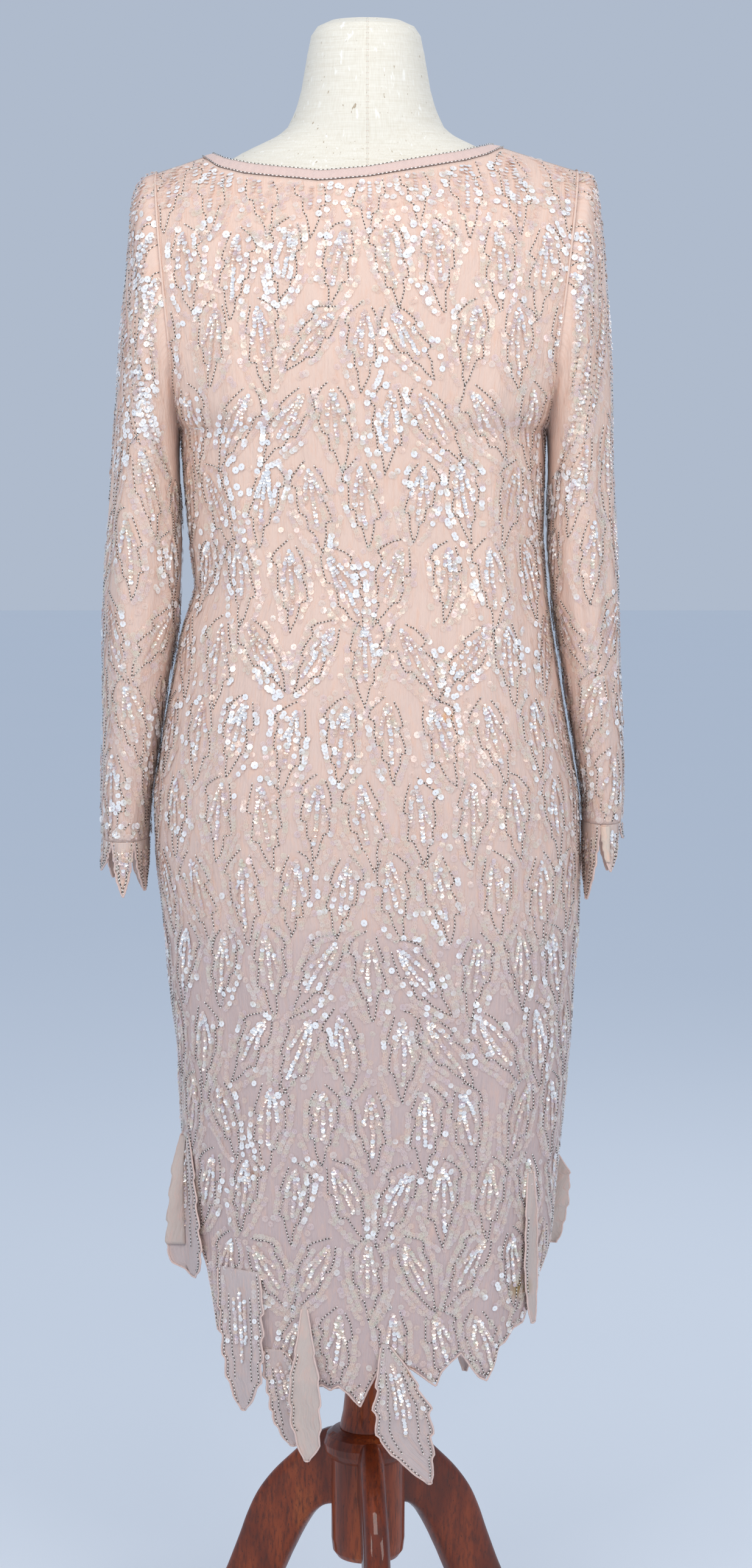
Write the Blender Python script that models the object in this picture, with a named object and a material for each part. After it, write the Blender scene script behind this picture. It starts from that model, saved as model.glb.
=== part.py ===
"""A beaded long sleeve dress on a limbless dress form with a turned wooden tripod stand.

Metres, +Z up. The back of the dress faces -Y, and the floor is z = 0.
"""

import math

import bmesh
import bpy
import numpy as np

# Where the post axis stands, so that the whole object is centred on the origin
AXIS_X = 0.005
AXIS_Y = 0.053

# Cloth walls
WALL = 0.0018
FLAP_WALL = 0.0014
SEAM_GAP = 0.0003
BAND_GAP = 0.0011
BACK_COLUMNS = 26
FRONT_COLUMNS = 21
# Columns of a panel keep this far, across, from the ones at the neck corners
COLUMN_SPACE = 0.045
ARMPIT_Z = 1.180
SHOULDER_ROUND = 0.112
ARMHOLE_DEPTH = 0.074
SECTION_POWER = 2.3
# How far across a panel a hem leaf follows its curve
LEAF_REACH = 0.985

# Dress sections in millimetres: height, left edge, right edge, back depth, front depth
DRESS_ROWS = (
    (300, -163, 160, 110, 106),
    (370, -164, 162, 110, 107),
    (430, -166, 165, 111, 108),
    (500, -167, 171, 112, 109),
    (552, -169, 176, 114, 110),
    (630, -173, 183, 117, 112),
    (687, -180, 186, 119, 114),
    (728, -183, 190, 121, 116),
    (806, -191, 191, 123, 118),
    (854, -192, 189, 122, 118),
    (925, -180, 176, 116, 117),
    (1000, -166, 164, 106, 113),
    (1038, -153, 159, 100, 112),
    (1076, -158, 156, 99, 113),
    (1130, -163, 157, 101, 119),
    (1180, -166, 158, 105, 123),
    (1240, -171.6, 165.2, 108, 121),
    (1300, -177.3, 172.4, 107, 108),
    (1360, -182.9, 179.7, 101, 92),
    (1404, -187, 185, 90, 78),
    (1470, -187, 185, 84, 74),
)

# Shoulder line in millimetres: where it leaves the neck band, and its fall per millimetre outward
LEFT_SHOULDER = (-137, 1421, 0.34)
RIGHT_SHOULDER = (111, 1429, 0.31)

# Neck edge in millimetres: x and height of the panel edge, then x and height of the band's free edge
BACK_NECK = (
    (-146, 1418, -137, 1421),
    (-131, 1406, -124, 1414),
    (-108, 1399, -102, 1408.5),
    (-81, 1395.5, -78, 1405),
    (-41, 1391, -40, 1400.5),
    (0, 1394, 0, 1403.5),
    (53, 1404, 51, 1413.5),
    (84, 1410, 79, 1419),
    (106, 1417, 98, 1424.5),
    (120, 1426.2, 111, 1429),
)
FRONT_NECK = (
    (-146, 1418, -137, 1421),
    (-131, 1398, -124, 1406),
    (-108, 1384, -101, 1393),
    (-81, 1373, -77, 1382.5),
    (-41, 1364, -39, 1373.5),
    (0, 1362, 0, 1371.5),
    (53, 1370, 50, 1379.5),
    (84, 1382, 78, 1391),
    (106, 1402, 97, 1410),
    (120, 1426.2, 111, 1429),
)

# Hem edge in millimetres: x and height
BACK_HEM = (
    (-167, 470),
    (-152, 452),
    (-142, 424),
    (-135, 376),
    (-114, 368),
    (-93, 352),
    (-70, 346),
    (-41, 334),
    (-24, 340),
    (-6, 321),
    (10, 350),
    (34, 356),
    (64, 338),
    (84, 362),
    (108, 336),
    (122, 369),
    (140, 381),
    (152, 418),
    (162, 440),
    (166, 470),
)
FRONT_HEM = (
    (-167, 470),
    (-150, 430),
    (-130, 372),
    (-112, 398),
    (-92, 344),
    (-70, 372),
    (-48, 322),
    (-26, 352),
    (-4, 306),
    (20, 350),
    (44, 318),
    (66, 366),
    (88, 330),
    (110, 390),
    (134, 362),
    (152, 424),
    (166, 470),
)

# Soft folds of a panel: place across (-1 left to 1 right), foot and head height, rise and half width
# in millimetres, and how far across the fold wanders from foot to head
BACK_FOLDS = (
    (-0.62, 330, 980, 4.0, 0.085, 0.10),
    (-0.30, 300, 760, 3.2, 0.070, -0.06),
    (0.06, 310, 640, 2.6, 0.060, 0.03),
    (0.36, 320, 900, 3.4, 0.080, 0.05),
    (0.70, 360, 1020, 3.8, 0.075, -0.08),
    (-0.72, 1010, 1330, 4.2, 0.090, 0.06),
    (0.74, 1000, 1340, 4.6, 0.080, -0.05),
    (-0.16, 940, 1120, 2.4, 0.100, 0.12),
    (0.30, 960, 1140, 2.2, 0.090, -0.10),
)
FRONT_FOLDS = (
    (-0.66, 340, 1000, 4.4, 0.080, 0.08),
    (-0.22, 300, 820, 3.2, 0.075, -0.05),
    (0.20, 310, 720, 3.6, 0.070, 0.06),
    (0.58, 330, 940, 3.8, 0.085, -0.04),
    (-0.70, 1040, 1290, 4.0, 0.080, 0.10),
    (0.68, 1050, 1300, 4.4, 0.075, -0.08),
    (0.02, 930, 1120, 2.6, 0.110, 0.06),
)

# Sleeve rings in millimetres: inner x and height, outer x and height, half depth, depth centre
LEFT_SLEEVE = (
    (-166.4, 1180, -187.4, 1404, 74, 0),
    (-167.0, 1177, -199.0, 1398, 74, 0),
    (-167.6, 1173, -207.5, 1378, 74, 0),
    (-168.0, 1168, -211.0, 1340, 73, 1),
    (-168.4, 1161, -215.0, 1302, 72, 1),
    (-168.6, 1151, -219.0, 1262, 70, 2),
    (-168.4, 1134, -223.0, 1208, 67, 2),
    (-167.8, 1106, -227.5, 1150, 63, 3),
    (-167.5, 1070, -232.5, 1090, 59, 3),
    (-169.5, 1030, -235.8, 1036, 56, 4),
    (-173.5, 990, -237.0, 990, 54, 4),
    (-183.5, 935, -238.0, 935, 51, 5),
    (-190.0, 890, -239.0, 890, 49, 5),
    (-196.0, 848, -240.0, 848, 46, 6),
    (-199.0, 812, -239.6, 812, 45, 6),
)
RIGHT_SLEEVE = (
    (158.4, 1180, 185.4, 1404, 74, 0),
    (159.2, 1177, 198.0, 1401, 74, 0),
    (160.0, 1173, 204.0, 1377, 74, 0),
    (160.6, 1168, 208.5, 1340, 73, 1),
    (161.0, 1161, 211.5, 1302, 72, 1),
    (161.4, 1151, 214.7, 1262, 70, 2),
    (161.6, 1134, 216.8, 1208, 67, 2),
    (161.6, 1106, 217.6, 1150, 63, 2),
    (161.9, 1070, 221.8, 1085, 59, 3),
    (165.5, 1030, 223.6, 1034, 56, 3),
    (171.5, 990, 224.8, 990, 54, 4),
    (180.5, 935, 227.4, 935, 51, 4),
    (188.0, 890, 229.2, 890, 48, 5),
    (194.0, 850, 229.6, 850, 46, 5),
    (194.6, 828, 228.6, 828, 45, 5),
)

# Cuff leaves, hanging on from the sleeve end: start and end angle round the cuff (0 inner, 90 back),
# tip height in millimetres, and where the tip falls between the two angles
LEFT_CUFF = (
    ("cuff_left_leaf_outer", 118, 196, 784, 0.50),
    ("cuff_left_leaf_back", 62, 116, 763, 0.45),
    ("cuff_left_leaf_inner", -10, 60, 766, 0.55),
    ("cuff_left_leaf_front", 198, 262, 770, 0.50),
    ("cuff_left_leaf_deep", 264, 348, 760, 0.50),
)
RIGHT_CUFF = (
    ("cuff_right_leaf_outer", 146, 206, 812, 0.40),
    ("cuff_right_leaf_back", 78, 144, 786, 0.45),
    ("cuff_right_leaf_inner", -4, 76, 759, 0.50),
    ("cuff_right_leaf_front", 208, 274, 776, 0.50),
    ("cuff_right_leaf_deep", 276, 354, 764, 0.50),
)

# Hem leaves in millimetres, by panel: each row is height, left x, right x, how far it stands off the
# dress and how much further its two edges lift
BACK_LEAVES = {
    "hem_leaf_side_left": (
        (548, -168, -161, 0.5, 0),
        (516, -177, -156, 4, 1),
        (480, -181, -152, 6, 2),
        (456, -183, -149, 7, 2),
        (438, -183, -148, 7, 2),
        (428, -178, -151, 7, 1),
        (419, -161, -155, 7, 0),
    ),
    "hem_leaf_back_left": (
        (436, -134, -96, 0.5, 0),
        (400, -134, -92, 3, 2),
        (364, -131, -92, 5, 3),
        (338, -127, -94, 6, 3),
        (320, -120, -102, 6, 2),
        (309, -113, -109, 6, 0),
    ),
    "hem_leaf_lace": (
        (366, -92, -74, 0.5, 0),
        (344, -93, -57, 2.5, 1),
        (330, -90, -55, 3, 1),
        (306, -86, -52, 3, 1),
        (290, -78, -55, 3, 1),
        (280, -69, -64, 3, 0),
    ),
    "hem_leaf_folded": (
        (408, -58, -54, -0.2, 0),
        (380, -62, -49, 5, 2),
        (340, -70, -42, 9, 4),
        (306, -69, -41, 9, 4),
        (284, -63, -42, 9, 3),
        (269, -56, -52, 9, 0),
    ),
    "hem_leaf_centre": (
        (374, 12, 18, 0.5, 0),
        (352, 9, 36, 3, 2),
        (318, 4, 57, 6, 5),
        (290, 8, 59, 6, 5),
        (268, 28, 59, 6, 4),
        (256, 42, 58, 6, 2),
        (247, 53, 57, 6, 0),
    ),
    "hem_leaf_strip": (
        (523, 143, 148, 0.5, 0),
        (480, 141, 152, 4, 1),
        (430, 140, 153, 5, 1),
        (398, 143, 152, 6, 1),
        (379, 147, 151, 6, 0),
    ),
}
FRONT_LEAVES = {
    "hem_leaf_side_right": (
        (522, 166, 170, 0.5, 0),
        (496, 164, 187, 4, 1),
        (466, 162, 186, 5, 2),
        (440, 162, 180, 5, 1),
        (430, 166, 175, 5, 0),
    ),
    "hem_leaf_front_left": (
        (420, -112, -94, 0.5, 0),
        (366, -120, -82, 4, 2),
        (332, -114, -84, 5, 3),
        (304, -104, -92, 5, 1),
        (292, -99, -95, 5, 0),
    ),
    "hem_leaf_front_centre": (
        (372, -14, 6, 0.8, 0),
        (334, -26, 20, 4, 2),
        (298, -20, 16, 5, 3),
        (272, -8, 8, 5, 1),
        (258, -3, 2, 5, 0),
    ),
    "hem_leaf_front_right": (
        (412, 84, 98, 0.5, 0),
        (358, 72, 110, 4, 2),
        (324, 78, 104, 5, 3),
        (300, 86, 98, 5, 1),
        (288, 90, 94, 5, 0),
    ),
}

# Dress form sections in millimetres: height, half width, back depth, front depth
FORM_ROWS = (
    (738, 164, 104, 94),
    (745, 170, 110, 100),
    (806, 173, 113, 104),
    (854, 170, 111, 104),
    (925, 158, 104, 103),
    (1000, 136, 91, 95),
    (1038, 128, 84, 90),
    (1076, 129, 81, 90),
    (1130, 143, 86, 102),
    (1180, 152, 92, 113),
    (1240, 157, 97, 112),
    (1300, 160, 97, 97),
    (1350, 160, 92, 80),
    (1380, 155, 85, 70),
    (1398, 143, 76, 62),
    (1412, 126, 65, 57),
    (1421, 110, 60, 56),
    (1428, 96, 58, 56),
    (1436, 78, 57, 56),
    (1444, 69, 57, 56),
    (1460, 61.4, 55, 54),
    (1476, 57.3, 53, 51),
    (1507, 51.5, 49, 47),
    (1523, 48.5, 46, 45),
    (1531, 43, 41, 40),
    (1536, 32, 31, 30),
    (1538, 14, 14, 13),
)
FORM_CENTRE_X = -0.0015

# Stand sections in millimetres: radius, height
POST_ROWS = (
    (19.0, 737.6),
    (19.0, 420),
    (19.2, 340),
    (20.6, 302),
    (23.0, 280),
    (26.0, 266),
    (26.0, 264.2),
)
COLLAR_ROWS = (
    (27.0, 263.9),
    (33.0, 262.4),
    (38.0, 258.5),
    (41.0, 251.0),
    (40.6, 245.0),
    (38.0, 240.0),
    (34.4, 236.6),
)
HUB_ROWS = (
    (33.6, 236.3),
    (33.9, 200),
    (33.9, 160),
    (32.6, 149),
    (28.5, 143.2),
    (22.0, 141.0),
)
LEG_ANGLES = (("stand_leg_front", -85.5), ("stand_leg_right", 34.5), ("stand_leg_left", 154.5))
LEG_THICK = 0.0245
LEG_SQUARENESS = 3.6
# Leg sections in millimetres: radius and height on the top curve, then on the under curve
LEG_ROWS = (
    (24, 262, 24, 189),
    (44, 257, 42, 185),
    (60, 246, 54, 176),
    (76, 231, 62, 165),
    (96, 211, 70, 151),
    (112, 190, 76, 139),
    (123, 168, 81, 129),
    (131, 147, 86, 118),
    (139, 127, 93, 103),
    (147, 108, 101, 87),
    (159, 84, 112, 70),
    (176, 62, 128, 51),
    (199, 44, 150, 31),
    (224, 31, 173, 14),
    (244, 20, 188, 4),
    (250, 8, 194, 1),
    (247, 0, 197, 0),
)

# Colours as linear red, green and blue
COLOURS = {
    "georgette": (0.72, 0.55, 0.49, 1.0),
    "rolled_edge": (0.70, 0.45, 0.38, 1.0),
    "linen": (0.76, 0.71, 0.61, 1.0),
    "mahogany": (0.16, 0.040, 0.016, 1.0),
}
ROUGHNESS = {"georgette": 0.75, "rolled_edge": 0.7, "linen": 0.85, "mahogany": 0.22}


def clear_scene():
    """Takes every object out of the starting scene."""
    for obj in list(bpy.data.objects):
        bpy.data.objects.remove(obj, do_unlink=True)


def column(rows, index):
    """One column of a table as an array in metres."""
    return np.array([row[index] for row in rows], float) / 1000.0


def lookup(rows, height, index):
    """A column of a table read at a height in metres, straight between rows."""
    return float(np.interp(height, column(rows, 0), column(rows, index)))


def make_object(name, points, faces, material, smooth=True):
    """A mesh object of its own name and material, moved to the post axis."""
    mesh = bpy.data.meshes.new(name)
    shifted = [(p[0] + AXIS_X, p[1] + AXIS_Y, p[2]) for p in points]
    mesh.from_pydata(shifted, [], faces)
    work = bmesh.new()
    work.from_mesh(mesh)
    bmesh.ops.recalc_face_normals(work, faces=work.faces)
    if work.calc_volume(signed=True) < 0:
        bmesh.ops.reverse_faces(work, faces=work.faces)
    work.to_mesh(mesh)
    work.free()
    for face in mesh.polygons:
        face.use_smooth = smooth
    obj = bpy.data.objects.new(name, mesh)
    bpy.context.scene.collection.objects.link(obj)
    obj.data.materials.append(new_material(name, material))
    return obj


def new_material(name, kind):
    """A material of this object alone, in the colour of its kind."""
    material = bpy.data.materials.new(name + "_" + kind)
    material.use_nodes = True
    shader = material.node_tree.nodes["Principled BSDF"]
    shader.inputs["Base Color"].default_value = COLOURS[kind]
    shader.inputs["Roughness"].default_value = ROUGHNESS[kind]
    return material


def wall_from_grids(name, outer, inner, closed, material):
    """A cloth wall between two grids of points, rimmed all round, or only at its ends if closed."""
    rows, columns = outer.shape[:2]
    points = np.concatenate([outer.reshape(-1, 3), inner.reshape(-1, 3)])
    half = rows * columns
    faces = []
    spans = columns if closed else columns - 1
    for r in range(rows - 1):
        for c in range(spans):
            d = (c + 1) % columns
            quad = (r * columns + c, r * columns + d, (r + 1) * columns + d, (r + 1) * columns + c)
            faces.append(quad)
            faces.append(tuple(half + i for i in reversed(quad)))
    for c in range(spans):
        d = (c + 1) % columns
        for first, second in ((c, d), ((rows - 1) * columns + d, (rows - 1) * columns + c)):
            faces.append((second, first, half + first, half + second))
    if not closed:
        for r in range(rows - 1):
            low, high = r * columns, (r + 1) * columns
            faces.append((low, high, half + high, half + low))
            low, high = low + columns - 1, high + columns - 1
            faces.append((high, low, half + low, half + high))
    return make_object(name, points.tolist(), faces, material)


def grid_normals(grid, closed):
    """Unit normals of a grid of points, by differences along its rows and columns."""
    along = np.gradient(grid, axis=0)
    if closed:
        across = np.roll(grid, -1, axis=1) - np.roll(grid, 1, axis=1)
    else:
        across = np.gradient(grid, axis=1)
    normals = np.cross(across, along)
    lengths = np.linalg.norm(normals, axis=2, keepdims=True)
    return normals / np.maximum(lengths, 1e-12)


def shoulder_height(x):
    """Height of the shoulder line over x, both in metres."""
    left = LEFT_SHOULDER[1] + LEFT_SHOULDER[2] * (x * 1000.0 - LEFT_SHOULDER[0])
    right = RIGHT_SHOULDER[1] - RIGHT_SHOULDER[2] * (x * 1000.0 - RIGHT_SHOULDER[0])
    return min(left, right) / 1000.0


def bend(value, low, high):
    """A smooth rise from 0 at low to 1 at high."""
    t = min(max((value - low) / (high - low), 0.0), 1.0)
    return t * t * (3.0 - 2.0 * t)


def fold_rise(folds, across, height):
    """How far the folds of a panel lift it there, in metres."""
    rise = 0.0
    for place, foot, head, lift, width, wander in folds:
        t = (height * 1000.0 - foot) / (head - foot)
        middle = place + wander * t
        fade = bend(t, -0.15, 0.12) * (1.0 - bend(t, 0.55, 1.05))
        rise += lift * fade * math.exp(-(((across - middle) / width) ** 2))
    edge = 1.0 - bend(abs(across), 0.86, 0.97)
    return rise * edge / 1000.0


def dress_point(across, height, back, folds=()):
    """A point on the outside of the dress, across it from -1 to 1, at this height."""
    left = lookup(DRESS_ROWS, height, 1)
    right = lookup(DRESS_ROWS, height, 2)
    depth = lookup(DRESS_ROWS, height, 3 if back else 4)
    x = 0.5 * (left + right) + 0.5 * (right - left) * across
    tight = (1.0 - abs(across) ** SECTION_POWER) ** (1.0 / SECTION_POWER)
    if height <= ARMPIT_Z:
        y = depth * tight
    else:
        soft = 1.0 - abs(across) ** 2.6
        change = bend(height, ARMPIT_Z, ARMPIT_Z + 0.11)
        fullness = tight + (soft - tight) * change
        low = max(ARMPIT_Z + SHOULDER_ROUND - height, 0.0) / SHOULDER_ROUND
        edge_depth = ARMHOLE_DEPTH * math.sqrt(max(1.0 - low * low, 0.0))
        y = edge_depth + (depth - edge_depth) * fullness
        below = max(shoulder_height(x) - height, 0.0) / SHOULDER_ROUND
        y *= math.sqrt(max(1.0 - max(1.0 - below, 0.0) ** 2, 0.0))
    y += fold_rise(folds, across, height) * min(y / 0.04, 1.0)
    y = max(y, 0.0) + 0.5 * SEAM_GAP
    return (x, -y if back else y, height)


def neck_across(x):
    """Place across the dress (-1 to 1) of x at the neck, x in millimetres."""
    left, right = DRESS_ROWS[-1][1], DRESS_ROWS[-1][2]
    return (x - 0.5 * (left + right)) / (0.5 * (right - left))


def panel_columns(count, neck):
    """Places across a panel: even by section angle, with the neck corners and their neighbours."""
    angles = np.linspace(-math.pi / 2, math.pi / 2, count)
    places = np.sign(angles) * np.abs(np.sin(angles)) ** (2.0 / SECTION_POWER)
    places[0], places[-1] = -1.0, 1.0
    corners = [neck_across(neck[i][0]) for i in (0, 1, -2, -1)]
    near = [min(abs(place - corner) for corner in corners) for place in places]
    kept = [place for place, gap in zip(places, near) if gap > COLUMN_SPACE]
    return np.array(sorted(kept + corners))


def panel_top(across, neck):
    """Height of a panel's top edge: the shoulder seam, or the neck edge between its corners."""
    left, right = DRESS_ROWS[-1][1] / 1000.0, DRESS_ROWS[-1][2] / 1000.0
    x = 0.5 * (left + right) + 0.5 * (right - left) * across
    if neck[0][0] <= x * 1000.0 <= neck[-1][0]:
        return float(np.interp(x, column(neck, 0), column(neck, 1)))
    return shoulder_height(x)


def panel_foot(across, hem):
    """Height of a panel's hem edge at this place across."""
    left = lookup(DRESS_ROWS, 0.400, 1)
    right = lookup(DRESS_ROWS, 0.400, 2)
    x = 0.5 * (left + right) + 0.5 * (right - left) * across
    return float(np.interp(x, column(hem, 0), column(hem, 1)))


def make_panel(name, back, columns, lower_rows, upper_rows, tables):
    """A whole back or front panel from hem to shoulder, as one thin wall."""
    neck, hem, folds = tables
    places = panel_columns(columns, neck)
    grid = []
    for r in range(lower_rows):
        t = (r / (lower_rows - 1)) ** 0.92
        grid.append(
            [
                dress_point(a, panel_foot(a, hem) * (1.0 - t) + ARMPIT_Z * t, back, folds)
                for a in places
            ]
        )
    for r in range(1, upper_rows):
        t = math.sin(0.5 * math.pi * r / (upper_rows - 1)) ** 0.85
        t = 0.5 * t + 0.5 * r / (upper_rows - 1)
        grid.append(
            [
                dress_point(a, ARMPIT_Z * (1.0 - t) + panel_top(a, neck) * t, back, folds)
                for a in places
            ]
        )
    outer = np.array(grid)
    normals = grid_normals(outer, False)
    side = -1.0 if back else 1.0
    normals *= np.sign(np.sum(normals[:, len(places) // 2, 1]) * side)
    for edge, outward in ((0, -1.0), (len(places) - 1, 1.0)):
        normals[:lower_rows, edge] = (outward, 0.0, 0.0)
        normals[lower_rows:, edge, 0] = 0.0
    corners = (neck[0][0] + 0.5, neck[-1][0] - 0.5)
    shoulder = [i for i, a in enumerate(places) if not corners[0] < neck_x(a) < corners[1]]
    normals[-1, shoulder] = (0.0, 0.0, 1.0)
    normals /= np.maximum(np.linalg.norm(normals, axis=2, keepdims=True), 1e-9)
    inner = outer - normals * WALL
    if back:
        inner[..., 1] = np.minimum(inner[..., 1], -0.5 * SEAM_GAP)
    else:
        inner[..., 1] = np.maximum(inner[..., 1], 0.5 * SEAM_GAP)
    return wall_from_grids(name, outer, inner, False, "georgette")


def neck_x(across):
    """x in millimetres of a place across the dress at the neck."""
    left, right = DRESS_ROWS[-1][1], DRESS_ROWS[-1][2]
    return 0.5 * (left + right) + 0.5 * (right - left) * across


def neck_edge(back, columns, neck, folds):
    """Panel edge points and free edge points of the neck, left to right, at the panel's columns."""
    low, high = [], []
    for across in panel_columns(columns, neck):
        x = neck_x(across)
        if not neck[0][0] - 0.5 <= x <= neck[-1][0] + 0.5:
            continue
        given = [row[0] for row in neck]
        low_z, high_x, high_z = (np.interp(x, given, [row[i] for row in neck]) for i in (1, 2, 3))
        low.append(dress_point(across, low_z / 1000.0, back, folds))
        high.append(dress_point(neck_across(high_x), high_z / 1000.0, back))
    return np.array(low), np.array(high)


def make_neck_band():
    """The narrow bound edge round the neck opening."""
    back_low, back_high = neck_edge(True, BACK_COLUMNS, BACK_NECK, BACK_FOLDS)
    front_low, front_high = neck_edge(False, FRONT_COLUMNS, FRONT_NECK, FRONT_FOLDS)
    low = np.concatenate([back_low, front_low[-2:0:-1]])
    high = np.concatenate([back_high, front_high[-2:0:-1]])
    for ring in (low, high):
        ring[0, 1] = 0.0
        ring[len(back_low) - 1, 1] = 0.0
    rise = high - low
    rise /= np.linalg.norm(rise, axis=1, keepdims=True)
    low = low + rise * BAND_GAP
    outer = np.stack([low, 0.5 * (low + high), high])
    normals = grid_normals(outer, True)
    if np.mean(normals[1, :, 2]) < 0:
        normals = -normals
    return wall_from_grids("neck_band", outer, outer - normals * FLAP_WALL, True, "rolled_edge")


def sleeve_ring(row, angles, inset):
    """Points of one sleeve ring, drawn in by the inset."""
    inner = np.array((row[0], 0.0, row[1])) / 1000.0
    outer = np.array((row[2], 0.0, row[3])) / 1000.0
    middle = 0.5 * (inner + outer)
    reach = 0.5 * (inner - outer)
    reach *= 1.0 - inset / np.linalg.norm(reach)
    depth = row[4] / 1000.0 - inset
    ring = middle + np.cos(angles)[:, None] * reach
    ring[:, 1] -= np.sin(angles) * depth
    ring[:, 1] += row[5] / 1000.0
    return ring


def spread_rows(rows, count):
    """Rows of a table blended to a new count, smoothly between the given ones."""
    table = np.array(rows, float)
    given = np.arange(len(table))
    wanted = np.linspace(0, len(table) - 1, count)
    blended = np.empty((count, table.shape[1]))
    for i, w in enumerate(wanted):
        k = min(int(w), len(table) - 2)
        t = w - k
        before = table[max(k - 1, 0)]
        after = table[min(k + 2, len(table) - 1)]
        start, end = table[k], table[k + 1]
        m0 = 0.5 * (end - before) if k > 0 else end - start
        m1 = 0.5 * (after - start) if k + 2 < len(table) else end - start
        h = t * t * (3.0 - 2.0 * t)
        blended[i] = (
            start * (1.0 - h) + end * h + m0 * (t**3 - 2 * t * t + t) + m1 * (t**3 - t * t)
        )
    blended[0], blended[-1] = table[0], table[-1]
    return blended


def make_sleeve(name, rows, around, along):
    """A whole sleeve from armhole to cuff, as one thin tube."""
    angles = np.linspace(0.0, 2.0 * math.pi, around, endpoint=False)
    table = spread_rows(rows, along)
    outer = np.array([sleeve_ring(row, angles, 0.0) for row in table])
    inner = np.array([sleeve_ring(row, angles, WALL) for row in table])
    return wall_from_grids(name, outer, inner, True, "georgette")


def make_cuff_leaf(rows, leaf):
    """One leaf that hangs on from the sleeve end, narrowing down to its tip."""
    name, start, end, tip_z, tip_at = leaf
    last, before = np.array(rows[-1], float), np.array(rows[-2], float)
    top_z = rows[-1][1] / 1000.0 - SEAM_GAP
    tip_z = tip_z / 1000.0
    start, end = math.radians(start), math.radians(end)
    tip = start + (end - start) * tip_at
    widths = (1.0, 0.97, 0.84, 0.70, 0.42, 0.10)
    outer, inner = [], []
    for k, width in enumerate(widths):
        t = k / (len(widths) - 1)
        z = top_z + (tip_z - top_z) * t
        slope = (last - before) / (before[1] - last[1]) * 0.5
        row = last + slope * (rows[-1][1] - z * 1000.0)
        row[1] = row[3] = z * 1000.0
        row[4] = last[4]
        low = tip + (start - tip) * width
        high = tip + (end - tip) * width
        angles = np.linspace(low, high, 7)
        outer.append(sleeve_ring(row, angles, 0.0))
        inner.append(sleeve_ring(row, angles, FLAP_WALL))
    return wall_from_grids(name, np.array(outer), np.array(inner), False, "georgette")


def make_hem_leaf(name, rows, back, folds):
    """One loose leaf of the hem, a thin sheet that follows the dress a little way off it."""
    table = np.array(rows, float) / 1000.0
    outer, inner = [], []
    for z, left, right, off, lift in table:
        dress_left, dress_right = lookup(DRESS_ROWS, z, 1), lookup(DRESS_ROWS, z, 2)
        outer_row, inner_row = [], []
        for u in np.linspace(-1.0, 1.0, 7):
            x = 0.5 * (left + right) + 0.5 * (right - left) * u
            across = (x - 0.5 * (dress_left + dress_right)) / (0.5 * (dress_right - dress_left))
            across = min(max(across, -LEAF_REACH), LEAF_REACH)
            y = dress_point(across, z, back, folds)[1]
            out = off + lift * u * u
            side = -1.0 if back else 1.0
            outer_row.append((x, y + side * (out + FLAP_WALL), z))
            inner_row.append((x, y + side * out, z))
        outer.append(outer_row)
        inner.append(inner_row)
    return wall_from_grids(name, np.array(outer), np.array(inner), False, "georgette")


def rings_solid(name, rings, material):
    """A closed solid through stacked rings of the same count, with flat ends."""
    count = len(rings[0])
    points = [tuple(p) for ring in rings for p in ring]
    faces = [tuple(range(count)), tuple(range((len(rings) - 1) * count, len(rings) * count))]
    for r in range(len(rings) - 1):
        for c in range(count):
            d = (c + 1) % count
            faces.append((r * count + c, r * count + d, (r + 1) * count + d, (r + 1) * count + c))
    return make_object(name, points, faces, material)


def make_form(around):
    """The limbless torso and neck under the dress."""
    angles = np.linspace(0.0, 2.0 * math.pi, around, endpoint=False)
    rings = []
    for height, half, back, front in FORM_ROWS:
        x = FORM_CENTRE_X + np.cos(angles) * half / 1000.0
        depth = np.where(np.sin(angles) < 0, back, front) / 1000.0
        rings.append(np.stack([x, np.sin(angles) * depth, np.full_like(x, height / 1000.0)], 1))
    return rings_solid("form_torso", rings, "linen")


def make_turned(name, rows, around):
    """A turned wooden piece from its radius and height rows."""
    angles = np.linspace(0.0, 2.0 * math.pi, around, endpoint=False)
    rings = []
    for radius, height in rows:
        ring = np.stack([np.cos(angles), np.sin(angles), np.zeros(around)], 1) * radius / 1000.0
        ring[:, 2] = height / 1000.0
        rings.append(ring)
    return rings_solid(name, rings, "mahogany")


def make_core_cutter():
    """The hub and collar a little enlarged, to trim the leg roots."""
    spare = 0.35
    rows = [(r + spare, z) for r, z in COLLAR_ROWS] + [(r + spare, z) for r, z in HUB_ROWS]
    rows = [(rows[0][0], 275.0)] + rows + [(rows[-1][0], 136.0)]
    cutter = make_turned("core_cutter", rows, 48)
    cutter.hide_render = True
    cutter.display_type = "WIRE"
    return cutter


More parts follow.
